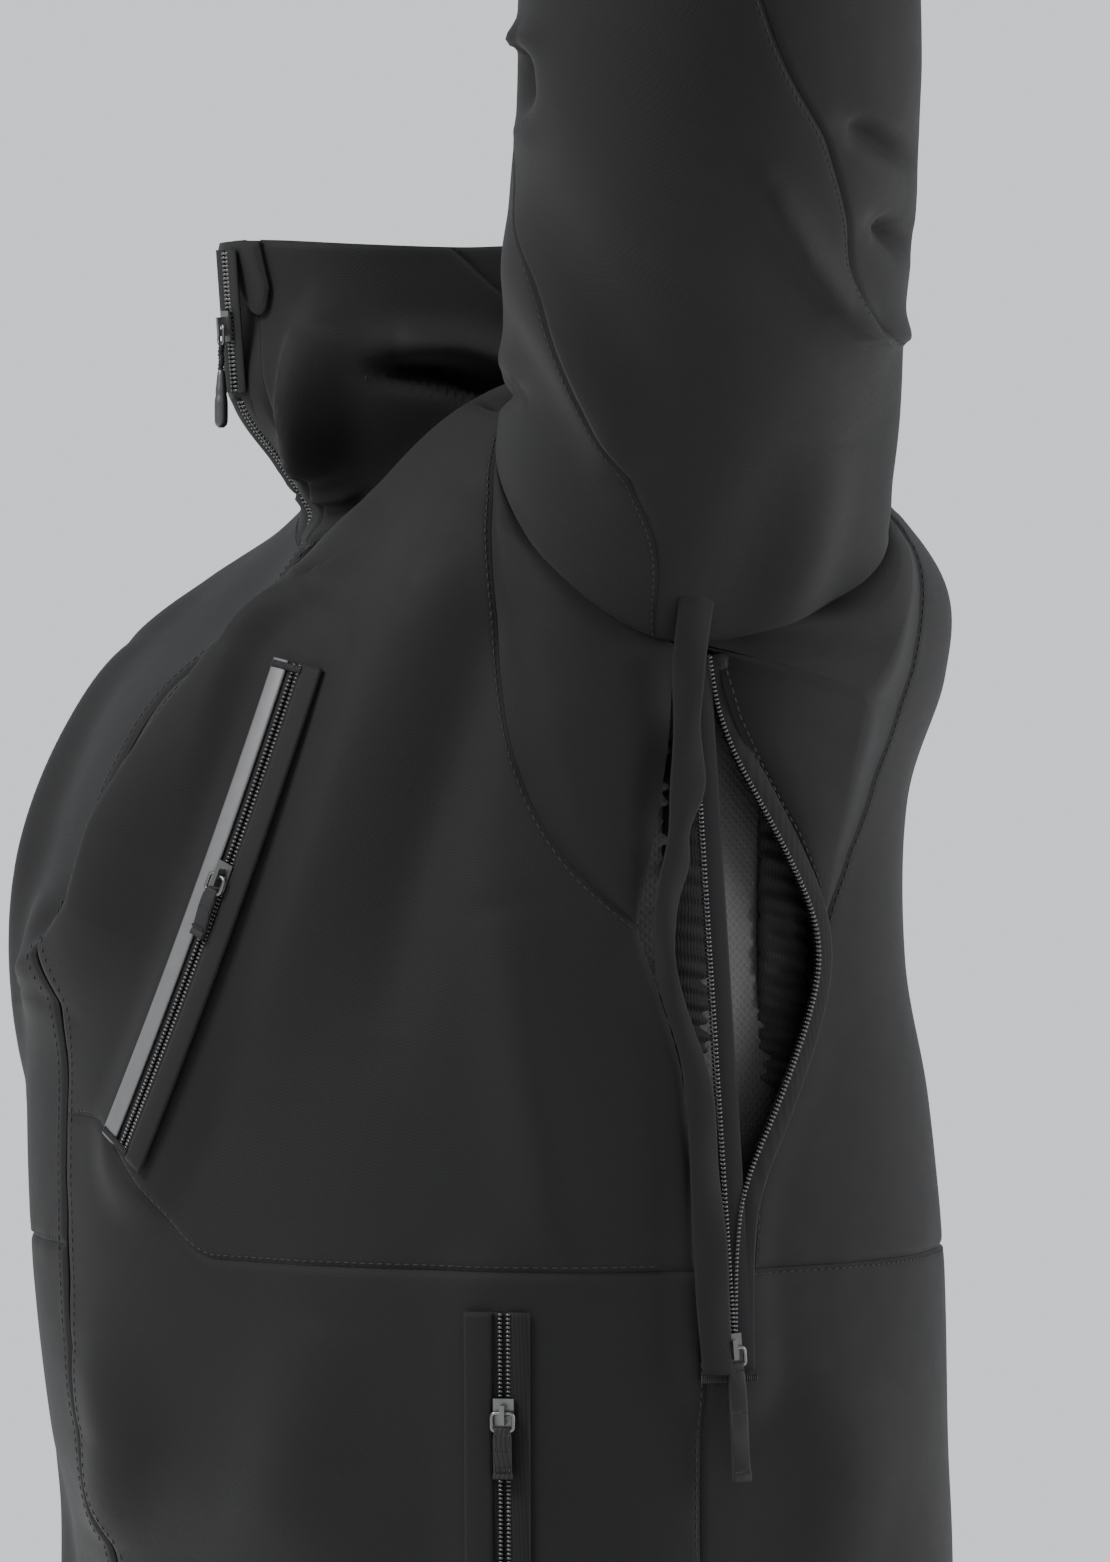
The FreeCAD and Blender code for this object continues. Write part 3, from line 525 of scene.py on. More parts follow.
CHARCOAL = (0.0042, 0.0042, 0.0045)
MATERIALS = {
    "shell": woven("softshell", CHARCOAL, 1.1, 0.16),
    "lining": woven("brushed_lining", (0.0036, 0.0036, 0.004), 1.6, 0.2, spread=0.35, sheen=0.08),
    "mesh": netting(),
    "webbing": woven("ribbed_tape", (0.0055, 0.0055, 0.006), 1.5, 0.35, rib=True),
    "tape_pull": woven("folded_tape", (0.009, 0.009, 0.0095), 1.1, 0.25, (0.5, 0.7), rib=True, on_uv=False),
    "puller_cord": hard("moulded_tip", (0.009, 0.009, 0.0095), (0.35, 0.5)),
    "welt_grey": hard("bonded_film", (0.045, 0.045, 0.047), (0.45, 0.6), spread=0.15),
    "cuff_tab": hard("tab_rubber", (0.007, 0.007, 0.0075), (0.5, 0.7), depth=0.15),
    "zip_metal": hard("dark_metal", (0.09, 0.09, 0.09), (0.22, 0.42), 0.9),
    "zip_black": hard("zip_plastic", (0.006, 0.006, 0.0065), (0.2, 0.34)),
    "zip_tape": woven("zip_tape", (0.004, 0.004, 0.0045), 0.9, 0.2, rib=True, on_uv=False),
    "thread": woven("thread", (0.012, 0.012, 0.013), 0.5, 0.1, (0.5, 0.65), on_uv=False),
}


# ---- seams of the body, in (theta, level) ----
def sided(side, points):
    points = np.array(points, dtype=float)
    points[:, 0] *= side
    return points


def front_theta(side, levels, x=FRONT_EDGE):
    """Front angles at which the rings stand x from the middle."""
    angles = np.linspace(0, 60, 601)
    result = []
    for level in levels:
        result.append(np.interp(x, body_skin(angles, level)[:, 0], angles))
    return side * np.array(result)


def front_line(side, level_0, level_1, x=FRONT_EDGE):
    levels = np.linspace(level_0, level_1, 60)
    return np.stack([front_theta(side, levels, x), levels], axis=-1)


UNDERARM_TURN = {1: 176.0, -1: 168.0}
UNDERARM_SEAM = {
    1: [(84.8, 6.3), (78.2, 6.65), (73.6, 7.15), (70.9, 7.9), (70.6, 9.0)],
    -1: [(84, 5.5), (76, 6.0), (68, 6.6), (60, 7.4), (54, 8.2)],
}
ZIP_FRONT = {1: [(91.2, WAIST), (89.2, 5.4), (84.8, 6.3)], -1: [(90.4, WAIST), (88.4, 4.8), (84, 5.5)]}
PIT_BACK = {1: [(97.0, WAIST), (98.0, 4.8), (100.4, 5.15), (104.8, 5.75), (107.2, 6.25), (103.9, 6.66),
                (100.4, 6.96), (95.0, 7.5), (92.8, 7.98)],
            -1: [(91.6, WAIST), (91.6, 4.6), (91.6, 5.5), (91.6, 5.9), (91.6, 6.3), (91.0, 6.62)]}
BACK_SEAM = {1: [(107.2, 6.25), (111, 6.7), (117, 7.3), (122.5, 8.1), (124.5, 8.9)],
             -1: [(91.6, 5.5), (104, 5.9), (116, 6.5), (126, 7.3), (129, 8.2)]}


def underarm_seam(side):
    theta, level = armhole(side, UNDERARM_TURN[side])
    return curve(sided(side, UNDERARM_SEAM[side] + [(abs(float(theta)), float(level))]))


def shoulder_seam(side):
    theta, level = armhole(side, 106)
    return curve(sided(side, [(abs(float(theta)), float(level)), (86, 11.4), (84, NECK)]))


def front_side(side):
    """The front panel's outer edge from the waist to the neck."""
    return join(curve(sided(side, ZIP_FRONT[side])), underarm_seam(side),
                arc_of(side, UNDERARM_TURN[side], 106), shoulder_seam(side))


def back_side(side):
    """The upper back's edge from the waist to the yoke."""
    zip_edge = PIT_BACK[side][:5] if side == 1 else PIT_BACK[side][:3]
    seam = BACK_SEAM[side] + [tuple(abs(float(x)) for x in armhole(side, 2))]
    return join(curve(sided(side, zip_edge)), curve(sided(side, seam)))


def around(side):
    """Angles of the wearer's right side counted on past the back."""
    return np.array([0.0 if side == 1 else 360.0, 0.0])


def waist_line(theta_0, theta_1):
    """The waist seam, which climbs towards the zip on the left front only."""
    theta = np.linspace(theta_0, theta_1, 80)
    rise = WAIST_RISE * (1 - smoothstep((theta - 10) / 24)) * (theta > 0)
    return np.stack([theta, WAIST + rise], axis=-1)


def build_body():
    for side, hand in ((1, "left"), (-1, "right")):
        edge = front_side(side)
        first = waist_line(side * 5, side * 6)[0, 1]
        closing = front_line(side, first, NECK)
        seam = waist_line(closing[0, 0], edge[0, 0])
        panel("front_upper_" + hand, BODY, seam, line(closing[-1], edge[-1]), closing, edge,
              replaces=["front_upper_" + hand])
        closing = front_line(side, 0, first)
        side_seam = line((side * SIDE_SEAM, 0), (side * SIDE_SEAM, WAIST))
        seam = waist_line(closing[-1, 0], side * SIDE_SEAM)
        panel("front_lower_" + hand, BODY, line(closing[0], side_seam[0]), seam, closing, side_seam,
              replaces=["front_lower_" + hand])
        stitches("waist_stitch_" + hand, BODY, waist_line(side * 4, side * 88), 2.0 * side)
        seam = underarm_seam(side)
        bottom_level = float(armhole(side, 270)[1])
        zip_edge = curve(sided(side, [ZIP_FRONT[side][-1], (87.6, (seam[0][1] + bottom_level) / 2),
                                      (88.6, bottom_level)]))
        right = join(zip_edge, arc_of(side, 269, UNDERARM_TURN[side]))
        panel("underarm_front_" + hand, BODY, line(seam[0], right[0], 4), line(seam[-1], right[-1], 4),
              seam, right, replaces=["underarm_front_" + hand])
        stitches("underarm_stitch_" + hand, BODY, seam, 2.0 * side)
        back = curve(sided(side, BACK_SEAM[side] + [tuple(np.abs(np.array(armhole(side, 2))))]))
        lower = PIT_BACK[side][4:] if side == 1 else PIT_BACK[side][2:]
        left = join(curve(sided(side, lower)), arc_of(side, 271, 362))
        panel("underarm_back_" + hand, BODY, line(left[0], back[0], 4), line(left[-1], back[-1], 4),
              left, back, replaces=["underarm_back_" + hand])
        stitches("back_seam_stitch_" + hand, BODY, back, -2.0 * side)
        stitches("side_seam_stitch_" + hand, BODY, side_seam, 2.0 * side)
        stitches("shoulder_stitch_" + hand, BODY, shoulder_seam(side), 2.2 * side)
        stitches("front_edge_stitch_" + hand, BODY, front_line(side, 0.2, 11.8), -7.0 * side)
        stitches("hem_stitch_" + hand, BODY, line((side * 4, 0.2), (side * 178, 0.2)), 0.0)
    left, right = back_side(1), back_side(-1) + around(-1)
    panel("back_upper", BODY, line(left[0], right[0]), line(left[-1], right[-1]), left, right,
          replaces=["back_upper"])
    left = join(arc_of(1, 2, 106), shoulder_seam(1))
    right = join(arc_of(-1, 2, 106), shoulder_seam(-1)) + around(-1)
    panel("back_yoke", BODY, line(left[0], right[0]), line(left[-1], right[-1]), left, right,
          replaces=["back_yoke"])
    stitches("yoke_stitch", BODY, line((124, YOKE), (232, YOKE)), -2.0)
    stitches("back_waist_stitch", BODY, line((96, WAIST), (264, WAIST)), -2.0)
    end = 360 - SIDE_SEAM
    panel("back_lower", BODY, line((SIDE_SEAM, 0), (end, 0)), line((SIDE_SEAM, WAIST), (end, WAIST)),
          line((SIDE_SEAM, 0), (SIDE_SEAM, WAIST)), line((end, 0), (end, WAIST)), replaces=["back_lower"])
    strip("hem_facing", 5, 355, 0.01, 0.24, -2.4, "lining")
    strip("storm_placket", -9, 9, 0.25, NECK - 0.1, -5.4, "shell")


def strip(name, theta_0, theta_1, level_0, level_1, lift, slot, surface=None, body=ROOT, thickness=1.0):
    """An inner piece of cloth between two angles and two levels."""
    panel(name, surface or BODY, line((theta_0, level_0), (theta_1, level_0), 120),
          line((theta_0, level_1), (theta_1, level_1), 120), line((theta_0, level_0), (theta_0, level_1), 80),
          line((theta_1, level_0), (theta_1, level_1), 80), slot=slot, lift=lift, thickness=thickness,
          replaces=[name], body=body)


# ---- stitches ----
def boxes(name, centres, along, normal, length, width, height, material, body=ROOT, taper=0.7):
    """Many small rounded blocks as one piece: threads or zip teeth."""
    across = unit(np.cross(normal, along))
    vertices = []
    for z, k in ((-0.5, 1.0), (0.5, taper)):
        for x, y in ((-0.5, -0.35), (-0.3, -0.5), (0.3, -0.5), (0.5, -0.35),
                     (0.5, 0.35), (0.3, 0.5), (-0.3, 0.5), (-0.5, 0.35)):
            vertices.append(centres + along * (x * length * k) + across * (y * width * k)
                            + normal * (z * height))
    count = len(vertices)
    points = np.stack(vertices, axis=1).reshape(-1, 3)
    ring = count // 2
    faces = [[k, (k + 1) % ring, ring + (k + 1) % ring, ring + k] for k in range(ring)]
    caps = [list(range(ring))[::-1], list(range(ring, count))]
    mesh = bpy.data.meshes.new(name)
    everything = []
    for i in range(len(centres)):
        everything += [[i * count + v for v in face] for face in faces + caps]
    mesh.from_pydata((points * MM).tolist(), [], everything)
    return finish_piece(name, mesh, material, body)


def finish_piece(name, mesh, material, body=ROOT, replaces=(), smooth_shade=True):
    if smooth_shade:
        mesh.shade_smooth()
    item = bpy.data.objects.new(name, mesh)
    bpy.context.collection.objects.link(item)
    return dress(item, material, body, replaces)


def stitches(name, surface, path, offset, lift=0.12, length=2.7, pitch=3.9, width=0.62):
    """A row of top stitches beside a seam; offset is to the left of the path's direction."""
    total = length_of(surface, path)
    places = (np.arange(int(total / pitch)) + 0.5) * pitch / total
    ab = resample(surface, path, places)
    a, b = ab[:, 0], ab[:, 1]
    ahead = resample(surface, path, np.clip(places + 1.5 / total, 0, 1))
    behind = resample(surface, path, np.clip(places - 1.5 / total, 0, 1))
    normal = surface.normal(a, b)
    along = unit(surface.skin(ahead[:, 0], ahead[:, 1]) - surface.skin(behind[:, 0], behind[:, 1]))
    aside = np.cross(normal, along) * offset
    da = (surface.skin(a + 0.2, b) - surface.skin(a - 0.2, b)) / 0.4
    db = (surface.skin(a, b + 0.02) - surface.skin(a, b - 0.02)) / 0.04
    aa, bb, ab_dot = np.sum(da * da, -1), np.sum(db * db, -1), np.sum(da * db, -1)
    ra, rb = np.sum(da * aside, -1), np.sum(db * aside, -1)
    det = aa * bb - ab_dot ** 2
    a2 = a + (ra * bb - rb * ab_dot) / det
    b2 = b + (rb * aa - ra * ab_dot) / det
    points = cloth(surface, a2, b2)
    normal = surface.normal(a2, b2)
    distance = np.full(len(a2), abs(offset))
    drop = pucker(points, distance) - SEAM_DEPTH * np.exp(-(distance / SEAM_WIDTH) ** 2)
    points = points + normal * (drop + lift)[:, None]
    return boxes(name, points, along, normal, length, width, 0.5, MATERIALS["thread"])


# ---- sleeves ----
FRONT_SEAM = {1: [(84, 0), (79, 0.5), (63, 0.85), (44, 1.15), (27, 1.55), (6, 1.98),
                  (-25, 2.3), (-58, 3.2), (-72, 5), (-78, CUFF_START)],
              -1: [(84, 0), (76, 1), (62, 2), (46, 3), (34, 4), (28, 5), (24, 6), (22, CUFF_START)]}
ELBOW_SEAM = {1: [(150, 1.22), (118, 1.66), (105, 2.1), (101, 2.6), (94, 3.0), (80, 3.5), (72, 4.4),
                  (68, 5.6), (66, CUFF_START)],
              -1: [(150, 1.9), (118, 2.3), (105, 2.7), (98, 3.1), (90, 3.6), (82, 4.2), (74, 5),
                   (70, 6), (68, CUFF_START)]}
BACK_SEAM_PSI = 212


def build_sleeves():
    for side, hand in ((1, "left"), (-1, "right")):
        surface = SLEEVES[side]
        seam = curve(FRONT_SEAM[side])
        over = line((BACK_SEAM_PSI - 360, 0), (BACK_SEAM_PSI - 360, CUFF_START), 120)
        panel("sleeve_front_" + hand, surface, line(over[0], seam[0]), line(over[-1], seam[-1]), over, seam,
              replaces=["sleeve_front_" + hand], level_rows=True)
        elbow = curve([(BACK_SEAM_PSI, ELBOW_SEAM[side][0][1] - 0.1)] + ELBOW_SEAM[side])
        corner = elbow[0]
        outer = join(line((BACK_SEAM_PSI, 0), corner, 30), elbow)
        panel("sleeve_outer_" + hand, surface, line(seam[0], outer[0]), line(seam[-1], outer[-1]),
              seam, outer,
              replaces=["sleeve_outer_" + hand])
        foot = elbow[:25]
        back = line(corner, (BACK_SEAM_PSI, CUFF_START), 80)
        panel("elbow_panel_" + hand, surface, foot[::-1], line(elbow[-1], back[-1]), elbow[24:], back,
              replaces=["elbow_panel_" + hand])
        stitches("sleeve_seam_stitch_" + hand, surface, seam, 2.0)
        stitches("elbow_stitch_" + hand, surface, elbow[:-4], 2.0)
        cuff = CUFF_START
        panel("cuff_" + hand, surface, line((150, cuff), (510, cuff), 120), line((150, 8), (510, 8), 120),
              line((150, cuff), (150, 8)), line((510, cuff), (510, 8)), lift=0.6, replaces=["cuff_" + hand])
        stitches("cuff_stitch_" + hand, surface, line((150, 7.86), (510, 7.86), 120), 0.0, lift=0.9)
        strip("cuff_tab_" + hand, 100, 168, cuff + 0.3, cuff + 0.72, 3.4, "cuff_tab", surface,
              "cuff_tab_" + hand, 1.6)


# ---- collar ----
def build_collar():
    for side, hand in ((1, "left"), (-1, "right")):
        closing = front_line(side, NECK, COLLAR_TOP, COLLAR_EDGE)
        seam = curve(sided(side, [(84, NECK), (94, 13), (99, 14), (92, 15), (80, COLLAR_TOP)]))
        panel("collar_front_" + hand, BODY, line(closing[0], seam[0]), line(closing[-1], seam[-1]),
              closing, seam, replaces=["collar_front_" + hand])
        stitches("neck_stitch_" + hand, BODY, line((side * 3, NECK), (side * 176, NECK)), -2.0 * side)
    left = curve([(84, NECK), (94, 13), (99, 14), (92, 15), (80, COLLAR_TOP)])
    right = curve([(276, NECK), (266, 13), (261, 14), (268, 15), (280, COLLAR_TOP)])
    panel("collar_back", BODY, line(left[0], right[0]), line(left[-1], right[-1]), left, right,
          replaces=["collar_back"])
    strip("collar_lining", 6, 354, NECK, COLLAR_TOP - 0.02, -3.2, "lining")
    stitches("collar_top_stitch", BODY, line((4, 15.86), (356, 15.86), 160), 0.0)
    stitches("collar_panel_stitch", BODY, curve(COLLAR_SEAM), 1.6)
    stitches("placket_stitch", BODY, curve([(12, 13.2), (13, 14.2), (12, 15), (12, 15.95)]), 0.0)
    left, right = line((-7, 15.4), (-7, 16.02)), line((12, 15.3), (12, 16.02))
    foot = curve([(-7, 15.4), (-3, 15.1), (3, 14.98), (8, 15.05), (12, 15.3)])
    panel("chin_guard", BODY, foot, line(left[-1], right[-1]), left, right, lift=3.4,
          thickness=2.2, cell=2.5, replaces=["chin_guard"])


COLLAR_SEAM = [(71, 15.7), (58, 15.2), (44, 14.65), (33.5, 14.2), (31.5, 13.9), (32.5, 13.6), (38, 13.3)]


# ---- stage ----
VIEW_AZIMUTH, VIEW_HEIGHT = 67.0, 2.0
VIEW_DISTANCE = 5.0
FRAME_HEIGHT = 0.6647
AIM_ACROSS, AIM_Z = 0.0383, -0.1494
FLOOR_SIZE, FLOOR_Z = 6.0, -0.86          # metres


def build_stage():
    mesh = bpy.data.meshes.new("floor")
    half = FLOOR_SIZE / 2
    corners = [(-half, -half), (half, -half), (half, half), (-half, half)]
    mesh.from_pydata([(x, y, FLOOR_Z) for x, y in corners], [], [(0, 1, 2, 3)])
    floor = bpy.data.objects.new("floor", mesh)
    bpy.context.collection.objects.link(floor)
    mesh.materials.append(new_material("floor_white", (0.96, 0.96, 0.96), 0.9)[0])


def view_vectors(azimuth, height):
    a, h = math.radians(azimuth), math.radians(height)
    right = Vector((math.cos(a), math.sin(a), 0))
    back = Vector((math.sin(a) * math.cos(h), -math.cos(a) * math.cos(h), math.sin(h)))
    return right, back


def area_light(name, azimuth, height, distance, size, power, aim=(0, 0, -0.25)):
    back = view_vectors(azimuth, height)[1]
    data = bpy.data.lights.new(name, "AREA")
    data.shape = "RECTANGLE"
    data.size, data.size_y = size
    data.energy = power
    lamp = bpy.data.objects.new(name, data)
    lamp.location = Vector(aim) + back * distance
    lamp.rotation_euler = back.to_track_quat("Z", "Y").to_euler()
    bpy.context.collection.objects.link(lamp)


def build_camera_and_light():
    right, back = view_vectors(VIEW_AZIMUTH, VIEW_HEIGHT)
    aim = right * AIM_ACROSS + Vector((0, 0, AIM_Z))
    data = bpy.data.cameras.new("camera")
    data.sensor_fit = "VERTICAL"
    data.angle_y = 2 * math.atan(FRAME_HEIGHT / 2 / VIEW_DISTANCE)
    camera = bpy.data.objects.new("camera", data)
    camera.location = aim + back * VIEW_DISTANCE
    camera.rotation_euler = back.to_track_quat("Z", "Y").to_euler()
    bpy.context.collection.objects.link(camera)
    bpy.context.scene.camera = camera
    world = bpy.data.worlds.new("studio")
    world.use_nodes = True
    world.node_tree.nodes["Background"].inputs["Color"].default_value = (0.95, 0.97, 1, 1)
    world.node_tree.nodes["Background"].inputs["Strength"].default_value = 1.0
    bpy.context.scene.world = world
    area_light("key", 10, 42, 3.0, (1.2, 1.2), 210)
    area_light("rim_back", 150, 15, 2.6, (0.8, 2.0), 90)
    area_light("fill", 85, 20, 3.5, (2.2, 2.2), 25)


# ---- zips ----
def frame_along(points, normals):
    along = np.gradient(points, axis=0)
    along = unit(along)
    across = unit(np.cross(normals, along))
    return along, across


def evenly(points, normals, pitch):
    run = np.concatenate([[0], np.cumsum(np.linalg.norm(np.diff(points, axis=0), axis=1))])
    places = np.arange(pitch / 2, run[-1], pitch)
    return (np.stack([np.interp(places, run, points[:, k]) for k in range(3)], axis=-1),
            unit(np.stack([np.interp(places, run, normals[:, k]) for k in range(3)], axis=-1)))


def ribbon(name, points, normals, low, high, lift, material, body=ROOT, thickness=0.6, replaces=()):
    """A woven strip along a path, from low to high across it; the edges are rolled under."""
    across = frame_along(points, normals)[1]
    columns = []
    for share, drop in ((0, 0.5), (0.12, 0.1), (0.5, 0), (0.88, 0.1), (1, 0.5)):
        columns.append(points + across * (low + (high - low) * share) + normals * (lift - drop))
    return sheet(name, np.stack(columns, axis=0), thickness, material, body, replaces)


def zip_row(name, points, normals, hand, replaces=()):
    """Tape and teeth on one side of a zip; hand is +1 or -1 across the path."""
    ribbon(name + "_tape", points, normals, hand * 1.6, hand * 10.6, 0.3, MATERIALS["zip_tape"],
           replaces=replaces)
    middles, ups = evenly(points, normals, 1.75)
    along, across = frame_along(middles, ups)
    boxes(name + "_teeth", middles + across * (hand * 1.7), along, ups, 1.25, 2.5, 2.5,
          MATERIALS["zip_black"])


def circle_path(top, middle, bottom, outward, count=90):
    """Points and normals along the circle through three points."""
    a, b = middle - top, bottom - top
    axis = np.cross(a, b)
    centre = top + (np.cross(axis, a) * (b @ b) + np.cross(b, axis) * (a @ a)) / (2 * (axis @ axis))
    axis = unit(axis)
    spoke = top - centre
    side = np.cross(axis, spoke)
    angle = math.atan2((bottom - centre) @ side, (bottom - centre) @ spoke) % (2 * math.pi)
    turns = np.linspace(0, angle, count)[:, None]
    points = centre + spoke * np.cos(turns) + side * np.sin(turns)
    half = turns - angle / 2
    along = unit(side * math.cos(angle / 2) - spoke * math.sin(angle / 2))
    across = unit(np.cross(outward, along))
    normal = unit(np.cross(along, across))
    normals = (normal * np.cos(half) + np.cross(axis, normal) * np.sin(half)
               + axis * (axis @ normal) * (1 - np.cos(half)))
    return points, normals


def straight_path(start, end, outward, count=60):
    start, end = np.array(start, float), np.array(end, float)
    along = unit(end - start)
    normal = unit(outward - along * (along @ outward))
    points = start + (end - start) * np.linspace(0, 1, count)[:, None]
    return points, np.repeat(normal[None], count, axis=0)


def on_body(theta, level, lift=0.0):
    return BODY.skin(theta, level) + BODY.normal(theta, level) * lift


CHEST_ZIP = ((46.5, 8.35), (38.8, 6.9), (20.0, 4.72))
CHEST_SLIDER, HAND_SLIDER = 0.42, 0.28      # where the sliders stand along their zips
CHEST_LIFT, HAND_LIFT, LUG_EYE = 7.5, 5.0, 4.6
HAND_ZIP = ((71.8, 3.88), (72.2, 1.75))
PIT_X = 237.5
PIT_FOOT, PIT_HEAD = np.array((PIT_X, 19.0, -383.0)), np.array((PIT_X, -1.0, -91.0))
PIT_REAR = [(-383, 0), (-350, 2), (-332, 3.6), (-305, 9), (-285, 22), (-265, 33), (-247, 43), (-230, 51),
            (-214, 56), (-202, 55), (-183, 46), (-161, 34), (-143, 23), (-124, 13), (-105, 9), (-91, 8)]
FLAP_EDGES = [  # height, seam side's Y, free side's Y
    (-62, -11, 5), (-94, -9, 4), (-117, -8, 2), (-135, -9, 5), (-145, -10, 6), (-156, -10, 0),
    (-164, -10, -4), (-174, -13, 0), (-188, -16, -6), (-202, -17, -9), (-214, -16, -10), (-228, -14, -6),
    (-245, -8, 1), (-258, -4, 6), (-272, -3, 9), (-290, -1, 11), (-320, 0, 13), (-355, 2, 16), (-383, 5, 17)]


def zip_paths():
    paths = {}
    top, middle, bottom = (on_body(a, b, CHEST_LIFT) for a, b in CHEST_ZIP)
    paths["chest"] = circle_path(top, middle, bottom, BODY.normal(*CHEST_ZIP[1]))
    for side, hand in ((1, "left"), (-1, "right")):
        (a, b), (c, d) = HAND_ZIP
        outward = BODY.normal(side * a, (b + d) / 2)
        paths["hand_" + hand] = straight_path(on_body(side * a, b, HAND_LIFT),
                                              on_body(side * c, d, HAND_LIFT),
                                              outward)
    paths["pit_front"] = straight_path(PIT_FOOT, PIT_HEAD, np.array((1.0, 0, 0)))
    line_points = paths["pit_front"][0]
    height = line_points[:, 2]
    spread = np.interp(height, [p[0] for p in PIT_REAR], [p[1] for p in PIT_REAR])
    spread = np.convolve(np.pad(spread, 3, "edge"), np.ones(7) / 7, "valid")
    rear = line_points + np.stack([-spread ** 2 / 260, spread, 0 * spread], axis=-1)
    paths["pit_rear"] = rear, unit(np.stack([np.ones(60), spread / 130, np.zeros(60)], axis=-1))
    paths["pit_right"] = straight_path(on_body(-90.6, 3.75, 4.2), on_body(-90.6, 6.1, 4.2),
                                       np.array((-1.0, 0, 0)))
    return paths


PATHS = zip_paths()
carry(PATHS["chest"][0], 1.1, 13, 26)
carry(PATHS["hand_left"][0], 1.1, 13, 26)
carry(PATHS["hand_right"][0], 1.1, 13, 26)
carry(PATHS["pit_front"][0], 1.3, 13, 22)
carry(PATHS["pit_rear"][0], 1.2, 10, 20)
carry(PATHS["pit_right"][0], 1.1, 12, 20)


def front_middle(levels):
    angles = np.linspace(-30, 30, 601)
    found = [np.interp(0.0, body_skin(angles, level)[:, 0], angles) for level in levels]
    return np.array(found)


def build_main_zip():
    levels = np.linspace(0.05, 14.05, 300)
    sunk = 4.0 * (1 - smoothstep((levels - 11.0) / 2.5))        # the closed front edges cover the lower chain
    points = cloth(BODY, front_middle(levels), levels, -sunk)
    points[:, 0] = 0
    along = unit(np.gradient(points, axis=0))
    normals = np.stack([np.zeros(300), -along[:, 2], along[:, 1]], axis=-1)
    rail = straight_path((0, -104.5, 16), (0, -109, 76), np.array((0, -1.0, 0)))
    for hand, word in ((1, "a"), (-1, "b")):
        zip_row("main_zip_low_" + word, points, normals, hand, ["main_zip_chain"] if hand == 1 else ())
        zip_row("main_zip_collar_" + word, *rail, hand)


def tube(name, points, radius, material, body, closed=False, sides=8, twist=0.0, replaces=()):
    """A round bar or cord along points; twist makes the plaited bumps of a cord."""
    points = np.array(points, dtype=float)
    along = np.gradient(points, axis=0)
    if closed:
        along = np.roll(points, -1, axis=0) - np.roll(points, 1, axis=0)
    along = unit(along)
    seed = np.array((0.31, 0.87, 0.38))
    first = unit(np.cross(along, seed))
    second = np.cross(along, first)
    run = np.concatenate([[0], np.cumsum(np.linalg.norm(np.diff(points, axis=0), axis=1))])
    radii = np.broadcast_to(np.asarray(radius, dtype=float), (len(points),))
    rings = []
    for k in range(sides):
        a = 2 * math.pi * k / sides
        bump = 1 + (0.16 * np.sin(run * twist + 2 * a) if twist else 0)
        rings.append(points + (first * math.cos(a) + second * math.sin(a)) * (radii * bump)[:, None])
    grid = np.stack(rings, axis=1)
    count = len(points)
    faces = []
    for i in range(count if closed else count - 1):
        for k in range(sides):
            j = (i + 1) % count
            after = (k + 1) % sides
            faces.append((i * sides + k, i * sides + after, j * sides + after, j * sides + k))
    if not closed:
        faces.append(tuple(range(sides))[::-1])
        faces.append(tuple((count - 1) * sides + k for k in range(sides)))
    mesh = bpy.data.meshes.new(name)
    mesh.from_pydata((grid.reshape(-1, 3) * MM).tolist(), [], faces)
    return finish_piece(name, mesh, material, body, replaces)


def local(origin, across, along, normal, points):
    points = np.array(points, dtype=float)
    return origin + points[:, :1] * across + points[:, 1:2] * along + points[:, 2:3] * normal


def ring_loop(wide, long, top):
    """A rounded wire loop from the eye (at Y 0) down to -long."""
    half, corner = wide / 2, 1.6
    result = []
    for cx, cy, start in ((half - corner, top - corner, 0), (corner - half, top - corner, 90),
                          (corner - half, corner - long, 180), (half - corner, corner - long, 270)):
        for step in range(6):
            a = math.radians(start + step * 18)
            result.append((cx + corner * math.cos(a), cy + corner * math.sin(a), 0))
    return result


